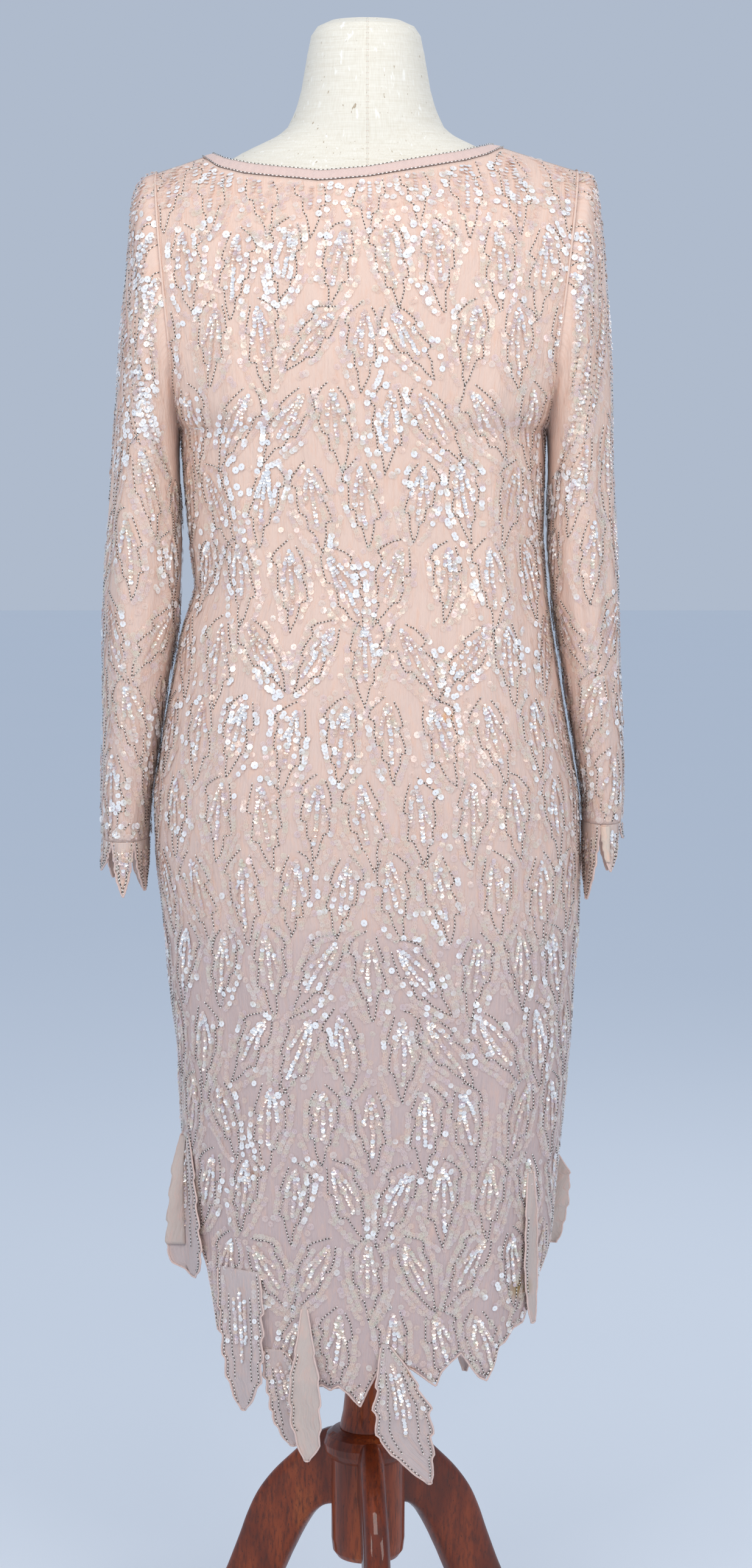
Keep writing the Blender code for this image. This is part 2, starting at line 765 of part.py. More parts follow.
def make_leg(name, degrees, cutter):
    """One curved plank leg with rounded edges, trimmed to the hub and collar."""
    turn = math.radians(degrees)
    forward = np.array((math.cos(turn), math.sin(turn), 0.0))
    sideways = np.array((-math.sin(turn), math.cos(turn), 0.0))
    upward = np.array((0.0, 0.0, 1.0))
    angles = np.linspace(0.0, 2.0 * math.pi, 16, endpoint=False)
    along = np.sign(np.cos(angles)) * np.abs(np.cos(angles)) ** (2.0 / LEG_SQUARENESS)
    aside = np.sign(np.sin(angles)) * np.abs(np.sin(angles)) ** (2.0 / LEG_SQUARENESS)
    along[np.abs(along) < 1e-4] = 0.0
    aside[np.abs(aside) < 1e-4] = 0.0
    rings = []
    for top_radius, top_z, under_radius, under_z in LEG_ROWS:
        top = (forward * top_radius + upward * top_z) / 1000.0
        under = (forward * under_radius + upward * under_z) / 1000.0
        ring = 0.5 * (top + under) + 0.5 * along[:, None] * (top - under)
        rings.append(ring + 0.5 * LEG_THICK * aside[:, None] * sideways)
    leg = rings_solid(name, rings, "mahogany")
    trim = leg.modifiers.new("trim", "BOOLEAN")
    trim.operation = "DIFFERENCE"
    trim.solver = "EXACT"
    trim.object = cutter
    return leg


def main():
    """Builds every piece."""
    clear_scene()
    make_form(28)
    make_turned("stand_post", POST_ROWS, 24)
    make_turned("stand_collar", COLLAR_ROWS, 32)
    make_turned("stand_hub", HUB_ROWS, 32)
    cutter = make_core_cutter()
    for name, degrees in LEG_ANGLES:
        make_leg(name, degrees, cutter)
    make_panel("dress_back", True, BACK_COLUMNS, 25, 12, (BACK_NECK, BACK_HEM, BACK_FOLDS))
    make_panel("dress_front", False, FRONT_COLUMNS, 21, 11, (FRONT_NECK, FRONT_HEM, FRONT_FOLDS))
    make_neck_band()
    make_sleeve("sleeve_left", LEFT_SLEEVE, 18, 22)
    make_sleeve("sleeve_right", RIGHT_SLEEVE, 18, 22)
    for leaf in LEFT_CUFF:
        make_cuff_leaf(LEFT_SLEEVE, leaf)
    for leaf in RIGHT_CUFF:
        make_cuff_leaf(RIGHT_SLEEVE, leaf)
    for name, rows in BACK_LEAVES.items():
        make_hem_leaf(name, rows, True, BACK_FOLDS)
    for name, rows in FRONT_LEAVES.items():
        make_hem_leaf(name, rows, False, FRONT_FOLDS)


main()
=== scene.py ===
"""The looks of a beaded dress on a linen dress form with a wooden tripod stand.

The cloth, its embroidery and its edges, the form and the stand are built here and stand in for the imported
solids. Everything is in metres, +Z up, the back of the dress to -Y.
"""

import logging
import math
from collections.abc import Callable
from dataclasses import dataclass, field
from enum import Enum

import bpy
import numpy as np
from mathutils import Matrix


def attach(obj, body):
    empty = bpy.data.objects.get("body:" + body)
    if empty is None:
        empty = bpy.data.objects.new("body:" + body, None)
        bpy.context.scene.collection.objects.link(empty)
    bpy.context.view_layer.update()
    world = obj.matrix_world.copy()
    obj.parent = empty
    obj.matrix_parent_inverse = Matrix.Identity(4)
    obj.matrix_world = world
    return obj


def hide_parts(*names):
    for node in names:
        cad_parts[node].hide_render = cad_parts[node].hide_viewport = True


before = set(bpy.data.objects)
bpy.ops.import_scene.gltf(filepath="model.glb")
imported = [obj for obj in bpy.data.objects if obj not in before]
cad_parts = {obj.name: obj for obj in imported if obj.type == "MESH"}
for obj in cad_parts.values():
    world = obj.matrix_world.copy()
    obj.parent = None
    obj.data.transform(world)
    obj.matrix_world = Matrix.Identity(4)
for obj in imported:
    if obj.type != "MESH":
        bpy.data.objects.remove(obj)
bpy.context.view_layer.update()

logging.basicConfig(level=logging.INFO, format="%(message)s")
LOG = logging.getLogger("dress")

# Points are worked out from the post's axis, which stands here in the frame
MM = 0.001
AXIS = np.array((0.005, 0.053, 0.0))
RNG = np.random.default_rng(17)
Socket = bpy.types.NodeSocket
Value = Socket | tuple | float

ARMPIT_Z = 1.180
SHOULDER_ROUND = 0.112
ARMHOLE_DEPTH = 0.074
SECTION_POWER = 2.3
CLOTH_LIFT = 0.0004
CLOTH_THICK = 0.0006
# Radius of the rolled ridge down each side seam, and how far it stands off the cloth, in metres
SEAM_RADIUS = 0.0011
SEAM_OFF = 0.0008

# Dress sections in millimetres: height, left edge, right edge, back depth, front depth
DRESS_ROWS = (
    (230, -163, 160, 110, 106),
    (300, -163, 160, 110, 106),
    (370, -164, 162, 110, 107),
    (430, -166, 165, 111, 108),
    (500, -167, 171, 112, 109),
    (552, -169, 176, 114, 110),
    (630, -173, 183, 117, 112),
    (687, -180, 186, 119, 114),
    (728, -183, 190, 121, 116),
    (806, -191, 191, 123, 118),
    (854, -192, 189, 122, 118),
    (925, -180, 176, 116, 117),
    (1000, -166, 164, 106, 113),
    (1038, -153, 159, 100, 112),
    (1076, -158, 156, 99, 113),
    (1130, -163, 157, 101, 119),
    (1180, -166, 158, 105, 123),
    (1240, -171.6, 165.2, 108, 121),
    (1300, -177.3, 172.4, 107, 108),
    (1360, -182.9, 179.7, 101, 92),
    (1404, -187, 185, 90, 78),
    (1470, -187, 185, 84, 74),
)
LEFT_SHOULDER = (-137, 1421, 0.34)
RIGHT_SHOULDER = (111, 1429, 0.31)

# Neck edge in millimetres: x and height of the panel edge, then x and height of the band's free edge
BACK_NECK = (
    (-146, 1418, -137, 1421),
    (-131, 1406, -124, 1414),
    (-108, 1399, -102, 1408.5),
    (-81, 1395.5, -78, 1405),
    (-41, 1391, -40, 1400.5),
    (0, 1394, 0, 1403.5),
    (53, 1404, 51, 1413.5),
    (84, 1410, 79, 1419),
    (106, 1417, 98, 1424.5),
    (120, 1426.2, 111, 1429),
)
FRONT_NECK = (
    (-146, 1418, -137, 1421),
    (-131, 1398, -124, 1406),
    (-108, 1384, -101, 1393),
    (-81, 1373, -77, 1382.5),
    (-41, 1364, -39, 1373.5),
    (0, 1362, 0, 1371.5),
    (53, 1370, 50, 1379.5),
    (84, 1382, 78, 1391),
    (106, 1402, 97, 1410),
    (120, 1426.2, 111, 1429),
)

# Hem edge in millimetres: x and height
BACK_HEM = (
    (-167, 470),
    (-158, 452),
    (-151, 456),
    (-143, 432),
    (-139, 408),
    (-135, 376),
    (-124, 368),
    (-114, 374),
    (-104, 360),
    (-93, 352),
    (-82, 356),
    (-70, 344),
    (-56, 340),
    (-47, 333),
    (-41, 336),
    (-33, 331),
    (-26, 335),
    (-17, 328),
    (-12, 322),
    (-6, 316),
    (0, 330),
    (10, 350),
    (24, 356),
    (40, 350),
    (56, 338),
    (62, 334),
    (66, 346),
    (74, 354),
    (84, 362),
    (92, 350),
    (101, 338),
    (108, 334),
    (114, 346),
    (118, 364),
    (124, 367),
    (131, 378),
    (140, 381),
    (146, 402),
    (152, 418),
    (162, 440),
    (166, 470),
)
FRONT_HEM = (
    (-167, 470),
    (-150, 430),
    (-130, 372),
    (-112, 398),
    (-92, 344),
    (-70, 372),
    (-48, 322),
    (-26, 352),
    (-4, 306),
    (20, 350),
    (44, 318),
    (66, 366),
    (88, 330),
    (110, 390),
    (134, 362),
    (152, 424),
    (166, 470),
)

# Soft folds: place across, foot and head height, rise and half width, wander from foot to head
BACK_FOLDS = (
    (-0.62, 330, 980, 4.0, 0.085, 0.10),
    (-0.30, 300, 760, 3.2, 0.070, -0.06),
    (0.06, 310, 640, 2.6, 0.060, 0.03),
    (0.36, 320, 900, 3.4, 0.080, 0.05),
    (0.70, 360, 1020, 3.8, 0.075, -0.08),
    (-0.72, 1010, 1330, 4.2, 0.090, 0.06),
    (0.74, 1000, 1340, 4.6, 0.080, -0.05),
    (-0.16, 940, 1120, 2.4, 0.100, 0.12),
    (0.30, 960, 1140, 2.2, 0.090, -0.10),
)
FRONT_FOLDS = (
    (-0.66, 340, 1000, 4.4, 0.080, 0.08),
    (-0.22, 300, 820, 3.2, 0.075, -0.05),
    (0.20, 310, 720, 3.6, 0.070, 0.06),
    (0.58, 330, 940, 3.8, 0.085, -0.04),
    (-0.70, 1040, 1290, 4.0, 0.080, 0.10),
    (0.68, 1050, 1300, 4.4, 0.075, -0.08),
    (0.02, 930, 1120, 2.6, 0.110, 0.06),
)

# Sleeve rings in millimetres: inner x and height, outer x and height, half depth, depth centre
LEFT_SLEEVE = (
    (-166.4, 1180, -187.4, 1404, 74, 0),
    (-167.0, 1177, -199.0, 1398, 74, 0),
    (-167.6, 1173, -207.5, 1378, 74, 0),
    (-168.0, 1168, -211.0, 1340, 73, 1),
    (-168.4, 1161, -215.0, 1302, 72, 1),
    (-168.6, 1151, -219.0, 1262, 70, 2),
    (-168.4, 1134, -223.0, 1208, 67, 2),
    (-167.8, 1106, -227.5, 1150, 63, 3),
    (-167.5, 1070, -232.5, 1090, 59, 3),
    (-169.5, 1030, -235.8, 1036, 56, 4),
    (-173.5, 990, -237.0, 990, 54, 4),
    (-183.5, 935, -238.0, 935, 51, 5),
    (-190.0, 890, -239.0, 890, 49, 5),
    (-196.0, 848, -240.0, 848, 46, 6),
    (-199.0, 812, -239.6, 812, 45, 6),
)
RIGHT_SLEEVE = (
    (158.4, 1180, 185.4, 1404, 74, 0),
    (159.2, 1177, 198.0, 1401, 74, 0),
    (160.0, 1173, 204.0, 1377, 74, 0),
    (160.6, 1168, 208.5, 1340, 73, 1),
    (161.0, 1161, 211.5, 1302, 72, 1),
    (161.4, 1151, 214.7, 1262, 70, 2),
    (161.6, 1134, 216.8, 1208, 67, 2),
    (161.6, 1106, 217.6, 1150, 63, 2),
    (161.9, 1070, 221.8, 1085, 59, 3),
    (165.5, 1030, 223.6, 1034, 56, 3),
    (171.5, 990, 224.8, 990, 54, 4),
    (180.5, 935, 227.4, 935, 51, 4),
    (188.0, 890, 229.2, 890, 48, 5),
    (194.0, 850, 229.6, 850, 46, 5),
    (194.6, 828, 228.6, 828, 45, 5),
)

# Cuff leaves: start and end angle round the cuff (0 inner, 90 back), tip height, place of the tip
LEFT_CUFF = (
    ("outer", 118, 196, 784, 0.50),
    ("back", 62, 116, 763, 0.45),
    ("inner", -10, 60, 766, 0.55),
    ("front", 198, 262, 770, 0.50),
    ("deep", 264, 348, 760, 0.50),
)
RIGHT_CUFF = (
    ("outer", 146, 206, 812, 0.40),
    ("back", 78, 144, 786, 0.45),
    ("inner", -4, 76, 759, 0.50),
    ("front", 208, 274, 776, 0.50),
    ("deep", 276, 354, 764, 0.50),
)

# Hem leaves: height, left x, right x, stand-off from the dress and lift of the two edges
BACK_LEAVES = {
    "hem_leaf_side_left": (
        (548, -168, -161, 0.5, 0),
        (516, -177, -156, 4, 1),
        (480, -181, -152, 6, 2),
        (456, -183, -149, 7, 2),
        (438, -183, -148, 7, 2),
        (428, -178, -151, 7, 1),
        (419, -161, -155, 7, 0),
    ),
    "hem_leaf_back_left": (
        (436, -134, -96, 0.5, 0),
        (400, -134, -92, 3, 2),
        (364, -131, -92, 5, 3),
        (338, -127, -94, 6, 3),
        (320, -120, -102, 6, 2),
        (309, -113, -109, 6, 0),
    ),
    "hem_leaf_lace": (
        (366, -92, -74, 0.5, 0),
        (344, -93, -57, 2.5, 1),
        (330, -90, -55, 3, 1),
        (306, -86, -52, 3, 1),
        (290, -78, -55, 3, 1),
        (280, -69, -64, 3, 0),
    ),
    "hem_leaf_folded": (
        (408, -58, -54, -0.2, 0),
        (380, -62, -49, 5, 2),
        (340, -70, -42, 9, 4),
        (306, -69, -41, 9, 4),
        (284, -63, -42, 9, 3),
        (269, -56, -52, 9, 0),
    ),
    "hem_leaf_centre": (
        (374, 12, 18, 0.5, 0),
        (352, 9, 36, 3, 2),
        (318, 4, 57, 6, 5),
        (290, 8, 59, 6, 5),
        (268, 28, 59, 6, 4),
        (256, 42, 58, 6, 2),
        (247, 53, 57, 6, 0),
    ),
    "hem_leaf_strip": (
        (523, 143, 148, 0.5, 0),
        (480, 141, 152, 4, 1),
        (430, 140, 153, 5, 1),
        (398, 143, 152, 6, 1),
        (379, 147, 151, 6, 0),
    ),
}
FRONT_LEAVES = {
    "hem_leaf_side_right": (
        (522, 166, 170, 0.5, 0),
        (496, 164, 187, 4, 1),
        (466, 162, 186, 5, 2),
        (440, 162, 180, 5, 1),
        (430, 166, 175, 5, 0),
    ),
    "hem_leaf_front_left": (
        (420, -112, -94, 0.5, 0),
        (366, -120, -82, 4, 2),
        (332, -114, -84, 5, 3),
        (304, -104, -92, 5, 1),
        (292, -99, -95, 5, 0),
    ),
    "hem_leaf_front_centre": (
        (372, -14, 6, 0.8, 0),
        (334, -26, 20, 4, 2),
        (298, -20, 16, 5, 3),
        (272, -8, 8, 5, 1),
        (258, -3, 2, 5, 0),
    ),
    "hem_leaf_front_right": (
        (412, 84, 98, 0.5, 0),
        (358, 72, 110, 4, 2),
        (324, 78, 104, 5, 3),
        (300, 86, 98, 5, 1),
        (288, 90, 94, 5, 0),
    ),
}


def smooth_step(value: np.ndarray, low: float, high: float) -> np.ndarray:
    """A smooth rise from 0 at low to 1 at high.

    Args:
        value: The numbers to read.
        low: Where the rise starts.
        high: Where it ends.

    Returns:
        Numbers from 0 to 1.
    """
    t = np.clip((value - low) / (high - low), 0.0, 1.0)
    return t * t * (3.0 - 2.0 * t)


class SmoothTable:
    """A table of sections read at any height, with its corners eased."""

    def __init__(self, rows: tuple, ease: float = 26.0) -> None:
        """Samples every column each millimetre and eases it.

        Args:
            rows: Rows whose first number is the height in millimetres, rising.
            ease: Width of the easing in millimetres.
        """
        table = np.array(rows, float)
        self.heights = np.arange(table[0, 0], table[-1, 0] + 1.0)
        window = np.hanning(int(ease) | 1)
        window /= window.sum()
        half = len(window) // 2
        columns = []
        for column in table[:, 1:].T:
            line = np.interp(self.heights, table[:, 0], column)
            padded = np.pad(line, half, mode="edge")
            columns.append(np.convolve(padded, window, mode="valid"))
        self.columns = columns

    def read(self, heights: np.ndarray, column: int) -> np.ndarray:
        """Reads one column.

        Args:
            heights: Heights in metres.
            column: Which column, counted from 0 after the height.

        Returns:
            The column's values in metres.
        """
        return np.interp(heights / MM, self.heights, self.columns[column]) * MM


DRESS = SmoothTable(DRESS_ROWS)


def shoulder_height(x: np.ndarray) -> np.ndarray:
    """Height of the shoulder line over x.

    Args:
        x: Places across, in metres from the post.

    Returns:
        Heights in metres.
    """
    left = LEFT_SHOULDER[1] + LEFT_SHOULDER[2] * (x / MM - LEFT_SHOULDER[0])
    right = RIGHT_SHOULDER[1] - RIGHT_SHOULDER[2] * (x / MM - RIGHT_SHOULDER[0])
    return np.minimum(left, right) * MM


@dataclass(frozen=True)
class BodyForm:
    """The outside of the dress body on one side, as a function of place across and height."""

    back: bool
    folds: tuple

    def fold_rise(self, across: np.ndarray, height: np.ndarray) -> np.ndarray:
        """How far the soft folds lift the cloth.

        Args:
            across: Places across, -1 to 1.
            height: Heights in metres.

        Returns:
            The lift in metres.
        """
        rise = np.zeros_like(across)
        for place, foot, head, lift, width, wander in self.folds:
            t = (height / MM - foot) / (head - foot)
            middle = place + wander * t
            fade = smooth_step(t, -0.15, 0.12) * (1.0 - smooth_step(t, 0.55, 1.05))
            rise += lift * fade * np.exp(-(((across - middle) / width) ** 2))
        rise *= 1.0 - smooth_step(np.abs(across), 0.86, 0.97)
        return rise * MM

    def puckers(self, across: np.ndarray, height: np.ndarray) -> np.ndarray:
        """The uneven gathering of the cloth between its rows of beads.

        Args:
            across: Places across, -1 to 1.
            height: Heights in metres.

        Returns:
            The lift in metres, below and above zero.
        """
        a = across * 175.0 + 11.0 * np.sin(height * 9.0 + 2.0 * across)
        z = height / MM + 9.0 * np.sin(a / 47.0)
        wave = np.sin(a / 6.1 + 1.7 * np.sin(z / 61.0)) * np.sin(z / 23.0 + 1.3 * np.sin(a / 33.0))
        small = np.sin(a / 3.4 + z / 19.0) * np.sin(z / 11.0 - a / 17.0 + 0.8)
        edge = 1.0 - smooth_step(np.abs(across), 0.93, 0.995)
        return (0.75 * wave + 0.35 * small) * edge * MM

    def points(self, across: np.ndarray, height: np.ndarray) -> np.ndarray:
        """Points on the outside of the cloth.

        Args:
            across: Places across, -1 to 1.
            height: Heights in metres.

        Returns:
            Points in metres from the post, in the last axis.
        """
        left, right = DRESS.read(height, 0), DRESS.read(height, 1)
        depth = DRESS.read(height, 2 if self.back else 3)
        x = 0.5 * (left + right) + 0.5 * (right - left) * across
        size = np.abs(across)
        tight = (1.0 - np.minimum(size, 1.0) ** SECTION_POWER) ** (1.0 / SECTION_POWER)
        soft = 1.0 - size**2.6
        change = smooth_step(height, ARMPIT_Z, ARMPIT_Z + 0.11)
        fullness = tight + (soft - tight) * change
        low = np.clip((ARMPIT_Z + SHOULDER_ROUND - height) / SHOULDER_ROUND, 0.0, 1.0)
        edge = ARMHOLE_DEPTH * np.sqrt(1.0 - low * low) * (height > ARMPIT_Z)
        y = edge + (depth - edge) * fullness
        below = np.maximum(shoulder_height(x) - height, 0.0) / SHOULDER_ROUND
        dome = np.sqrt(1.0 - np.maximum(1.0 - below, 0.0) ** 2)
        y = np.where(height > ARMPIT_Z, y * dome, y)
        lift = self.fold_rise(across, height) + self.puckers(across, height)
        y = y + lift * np.minimum(y / 0.04, 1.0) + CLOTH_LIFT
        return np.stack([x, -y if self.back else y, height], axis=-1)


def neck_x(across: np.ndarray) -> np.ndarray:
    """x of a place across at the neck.

    Args:
        across: Places across, -1 to 1.

    Returns:
        x in millimetres.
    """
    left, right = DRESS_ROWS[-1][1], DRESS_ROWS[-1][2]
    return 0.5 * (left + right) + 0.5 * (right - left) * across


def neck_across(x: np.ndarray) -> np.ndarray:
    """Place across of an x at the neck.

    Args:
        x: x in millimetres.

    Returns:
        Places across, -1 to 1.
    """
    left, right = DRESS_ROWS[-1][1], DRESS_ROWS[-1][2]
    return (x - 0.5 * (left + right)) / (0.5 * (right - left))


@dataclass(frozen=True)
class PanelCut:
    """The cut edges of a body panel: its neck and its hem."""

    neck: tuple
    hem: tuple

    def top(self, across: np.ndarray) -> np.ndarray:
        """Height of the shoulder seam or the neck edge.

        Args:
            across: Places across, -1 to 1.

        Returns:
            Heights in metres.
        """
        x = neck_x(across)
        neck = np.array(self.neck, float)
        line = np.interp(x, neck[:, 0], neck[:, 1]) * MM
        inside = (x >= neck[0, 0]) & (x <= neck[-1, 0])
        return np.where(inside, line, shoulder_height(x * MM))

    def foot(self, across: np.ndarray) -> np.ndarray:
        """Height of the hem edge.

        Args:
            across: Places across, -1 to 1.

        Returns:
            Heights in metres.
        """
        at = np.full_like(across, 0.400)
        left, right = DRESS.read(at, 0), DRESS.read(at, 1)
        x = (0.5 * (left + right) + 0.5 * (right - left) * across) / MM
        hem = np.array(self.hem, float)
        return np.interp(x, hem[:, 0], hem[:, 1]) * MM


@dataclass(frozen=True)
class SleeveForm:
    """The outside of a sleeve, as a function of ring and angle."""

    rows: tuple
    folds: tuple

    def ring_values(self, place: np.ndarray) -> np.ndarray:
        """Ring sizes at fractional row numbers, eased between the rows.

        Args:
            place: Row numbers, 0 at the armhole.

        Returns:
            One row of six values for each place, in millimetres.
        """
        table = np.array(self.rows, float)
        last = len(table) - 1
        k = np.clip(place.astype(int), 0, last - 1)
        t = (place - k)[..., None]
        start, end = table[k], table[k + 1]
        before, after = table[np.maximum(k - 1, 0)], table[np.minimum(k + 2, last)]
        first = np.where((k > 0)[..., None], 0.5 * (end - before), end - start)
        second = np.where((k + 2 <= last)[..., None], 0.5 * (after - start), end - start)
        ease = t * t * (3.0 - 2.0 * t)
        return (
            start * (1.0 - ease)
            + end * ease
            + first * (t**3 - 2.0 * t * t + t)
            + second * (t**3 - t * t)
        )

    def points(self, angle: np.ndarray, place: np.ndarray) -> np.ndarray:
        """Points on the outside of the cloth.

        Args:
            angle: Angles round the ring in radians, 0 inner and a quarter turn at the back.
            place: Row numbers, 0 at the armhole.

        Returns:
            Points in metres from the post, in the last axis.
        """
        row = self.ring_values(np.clip(place, 0.0, len(self.rows) - 1.0))
        drop = np.maximum(place - (len(self.rows) - 1.0), 0.0)
        inner = np.stack([row[..., 0], 0 * angle, row[..., 1] - drop * 34.0], axis=-1) * MM
        outer = np.stack([row[..., 2], 0 * angle, row[..., 3] - drop * 34.0], axis=-1) * MM
        middle, reach = 0.5 * (inner + outer), 0.5 * (inner - outer)
        size = 1.0 + CLOTH_LIFT / np.maximum(np.linalg.norm(reach, axis=-1), 1e-6)
        lift = np.zeros_like(angle)
        for at, start, end, rise, width, wander in self.folds:
            t = (place - start) / (end - start)
            turn = math.radians(at) + math.radians(wander) * t
            away = np.angle(np.exp(1j * (angle - turn))) / math.radians(width)
            lift += rise * smooth_step(t, 0.0, 0.25) * (1.0 - smooth_step(t, 0.7, 1.0)) * np.exp(
                -away * away
            )
        lift += 0.5 * np.sin(angle * 17.0 + place * 2.0) * np.sin(place * 5.1 + angle * 3.0)
        lift *= np.minimum(place / 1.5, 1.0) * MM
        point = middle + np.cos(angle)[..., None] * reach * size[..., None]
        point += np.cos(angle)[..., None] * lift[..., None] * reach / np.maximum(
            np.linalg.norm(reach, axis=-1, keepdims=True), 1e-6
        )
        depth = row[..., 4] * MM + CLOTH_LIFT + lift
        point[..., 1] += row[..., 5] * MM - np.sin(angle) * depth
        return point


LEFT_SLEEVE_FOLDS = (
    (95, 1, 9, 2.6, 16, 12),
    (60, 3, 13, -2.2, 12, -10),
    (130, 2, 12, 2.4, 14, -16),
    (150, 5, 14, -1.8, 11, 8),
    (40, 6, 14, 2.2, 12, 14),
    (250, 2, 12, 2.6, 16, 14),
    (300, 4, 13, -2.0, 14, -12),
)
RIGHT_SLEEVE_FOLDS = (
    (88, 1, 8, 2.4, 15, -14),
    (118, 3, 13, -2.2, 12, 12),
    (55, 2, 11, 2.4, 13, 12),
    (142, 5, 14, 2.0, 12, -10),
    (75, 7, 14, -1.8, 10, 6),
    (245, 2, 12, 2.4, 16, -12),
    (310, 4, 13, -2.0, 14, 10),
)
BACK_FORM = BodyForm(True, BACK_FOLDS)
FRONT_FORM = BodyForm(False, FRONT_FOLDS)
BACK_CUT = PanelCut(BACK_NECK, BACK_HEM)
FRONT_CUT = PanelCut(FRONT_NECK, FRONT_HEM)
LEFT_FORM = SleeveForm(LEFT_SLEEVE, LEFT_SLEEVE_FOLDS)
RIGHT_FORM = SleeveForm(RIGHT_SLEEVE, RIGHT_SLEEVE_FOLDS)


class Chart:
    """Reads a cloth surface by lengths along it, so that embroidery keeps its true size."""

    def __init__(
        self, points: Callable, sides: np.ndarray, rows: np.ndarray, lengths: np.ndarray, turn: float
    ) -> None:
        """Measures the surface once.

        Args:
            points: The surface as a function of two arrays, side place and row.
            sides: Side places from edge to edge, the middle one being the zero line.
            rows: Row values, evenly spaced.
            lengths: The length coordinate of each row in metres, larger upwards.
            turn: 1 or -1, which makes the normals point outwards.
        """
        self.points, self.turn = points, turn
        self.rows, self.lengths = rows, lengths
        grid = points(*np.meshgrid(sides, rows))
        steps = np.linalg.norm(np.diff(grid, axis=1), axis=2)
        run = np.concatenate([np.zeros((len(rows), 1)), np.cumsum(steps, axis=1)], axis=1)
        run -= run[:, [len(sides) // 2]]
        self.reach = np.stack([run[:, 0], run[:, -1]], axis=1)
        self.grid = np.arange(-0.30, 0.3001, 0.002)
        self.inverse = np.array([np.interp(self.grid, line, sides) for line in run])

    def row(self, v: np.ndarray) -> np.ndarray:
        """Row value at a length coordinate.

        Args:
            v: Lengths along in metres.

        Returns:
            Row values.
        """
        order = np.argsort(self.lengths)
        return np.interp(v, self.lengths[order], self.rows[order])

    def side(self, s: np.ndarray, row: np.ndarray) -> np.ndarray:
        """Side place at a length across and a row.

        Args:
            s: Lengths across in metres.
            row: Row values.

        Returns:
            Side places.
        """
        k = np.clip((row - self.rows[0]) / (self.rows[1] - self.rows[0]), 0, len(self.rows) - 1.001)
        i = np.clip((s - self.grid[0]) / (self.grid[1] - self.grid[0]), 0, len(self.grid) - 1.001)
        k0, i0 = k.astype(int), i.astype(int)
        rise, ahead = k - k0, i - i0
        low = self.inverse[k0, i0] * (1 - ahead) + self.inverse[k0, i0 + 1] * ahead
        high = self.inverse[k0 + 1, i0] * (1 - ahead) + self.inverse[k0 + 1, i0 + 1] * ahead
        return low * (1 - rise) + high * rise

    def place(self, s: np.ndarray, v: np.ndarray) -> np.ndarray:
        """Points on the surface at lengths across and along it.

        Args:
            s: Lengths across in metres.
            v: Lengths along in metres.

        Returns:
            Points in metres from the post axis.
        """
        row = self.row(v)
        return self.points(self.side(s, row), row)

    def frames(self, s: np.ndarray, v: np.ndarray, turn: np.ndarray) -> tuple:
        """Points with their own axes on the surface.

        Args:
            s: Lengths across in metres.
            v: Lengths along in metres.
            turn: Direction of the first axis in radians, 0 across and a quarter turn upwards.

        Returns:
            Points, and axes as rows: along the direction, across it, and outwards.
        """
        step = 0.0012
        side = self.place(s + step, v) - self.place(s - step, v)
        rise = self.place(s, v + step) - self.place(s, v - step)
        out = np.cross(side, rise) * self.turn
        out /= np.maximum(np.linalg.norm(out, axis=1, keepdims=True), 1e-12)
        side /= np.maximum(np.linalg.norm(side, axis=1, keepdims=True), 1e-12)
        rise /= np.maximum(np.linalg.norm(rise, axis=1, keepdims=True), 1e-12)
        first = side * np.cos(turn)[:, None] + rise * np.sin(turn)[:, None]
        first -= out * np.sum(first * out, axis=1, keepdims=True)
        first /= np.maximum(np.linalg.norm(first, axis=1, keepdims=True), 1e-12)
        return self.place(s, v), np.stack([first, np.cross(out, first), out], axis=1)

    def edge(self, v: np.ndarray) -> tuple:
        """The least and greatest length across at a length along.

        Args:
            v: Lengths along in metres.

        Returns:
            Two arrays, the least and the greatest.
        """
        row = self.row(v)
        return np.interp(row, self.rows, self.reach[:, 0]), np.interp(row, self.rows, self.reach[:, 1])


def body_chart(form: BodyForm) -> Chart:
    """The chart of a body panel: heights are its lengths along.

    Args:
        form: The panel's surface.

    Returns:
        The chart.
    """
    sides = np.sin(np.linspace(-1.0, 1.0, 161) * math.pi / 2)
    sides = np.sign(sides) * np.abs(sides) ** (2.0 / SECTION_POWER)
    rows = np.arange(0.236, 1.432, 0.006)
    return Chart(form.points, sides, rows, rows, 1.0 if form.back else -1.0)


def sleeve_chart(form: SleeveForm, turn: float) -> Chart:
    """The chart of a sleeve: its zero line runs down the outer side.

    Args:
        form: The sleeve's surface.
        turn: The sign that makes its normals point outwards.

    Returns:
        The chart.
    """
    rows = np.arange(0.0, len(form.rows) + 0.6, 0.1)
    values = form.ring_values(np.clip(rows, 0, len(form.rows) - 1.0))
    middle = 0.5 * (values[:, [0, 1]] + values[:, [2, 3]]) * MM
    drop = np.maximum(rows - (len(form.rows) - 1.0), 0.0) * 0.034
    steps = np.linalg.norm(np.diff(middle, axis=0), axis=1) + np.diff(drop)
    lengths = -np.concatenate([[0.0], np.cumsum(steps)])
    return Chart(form.points, np.linspace(0.0, 2.0 * math.pi, 121), rows, lengths, turn)


def deselect() -> None:
    """Leaves nothing selected, so that an operator acts on new things alone."""
    bpy.ops.object.select_all(action="DESELECT")


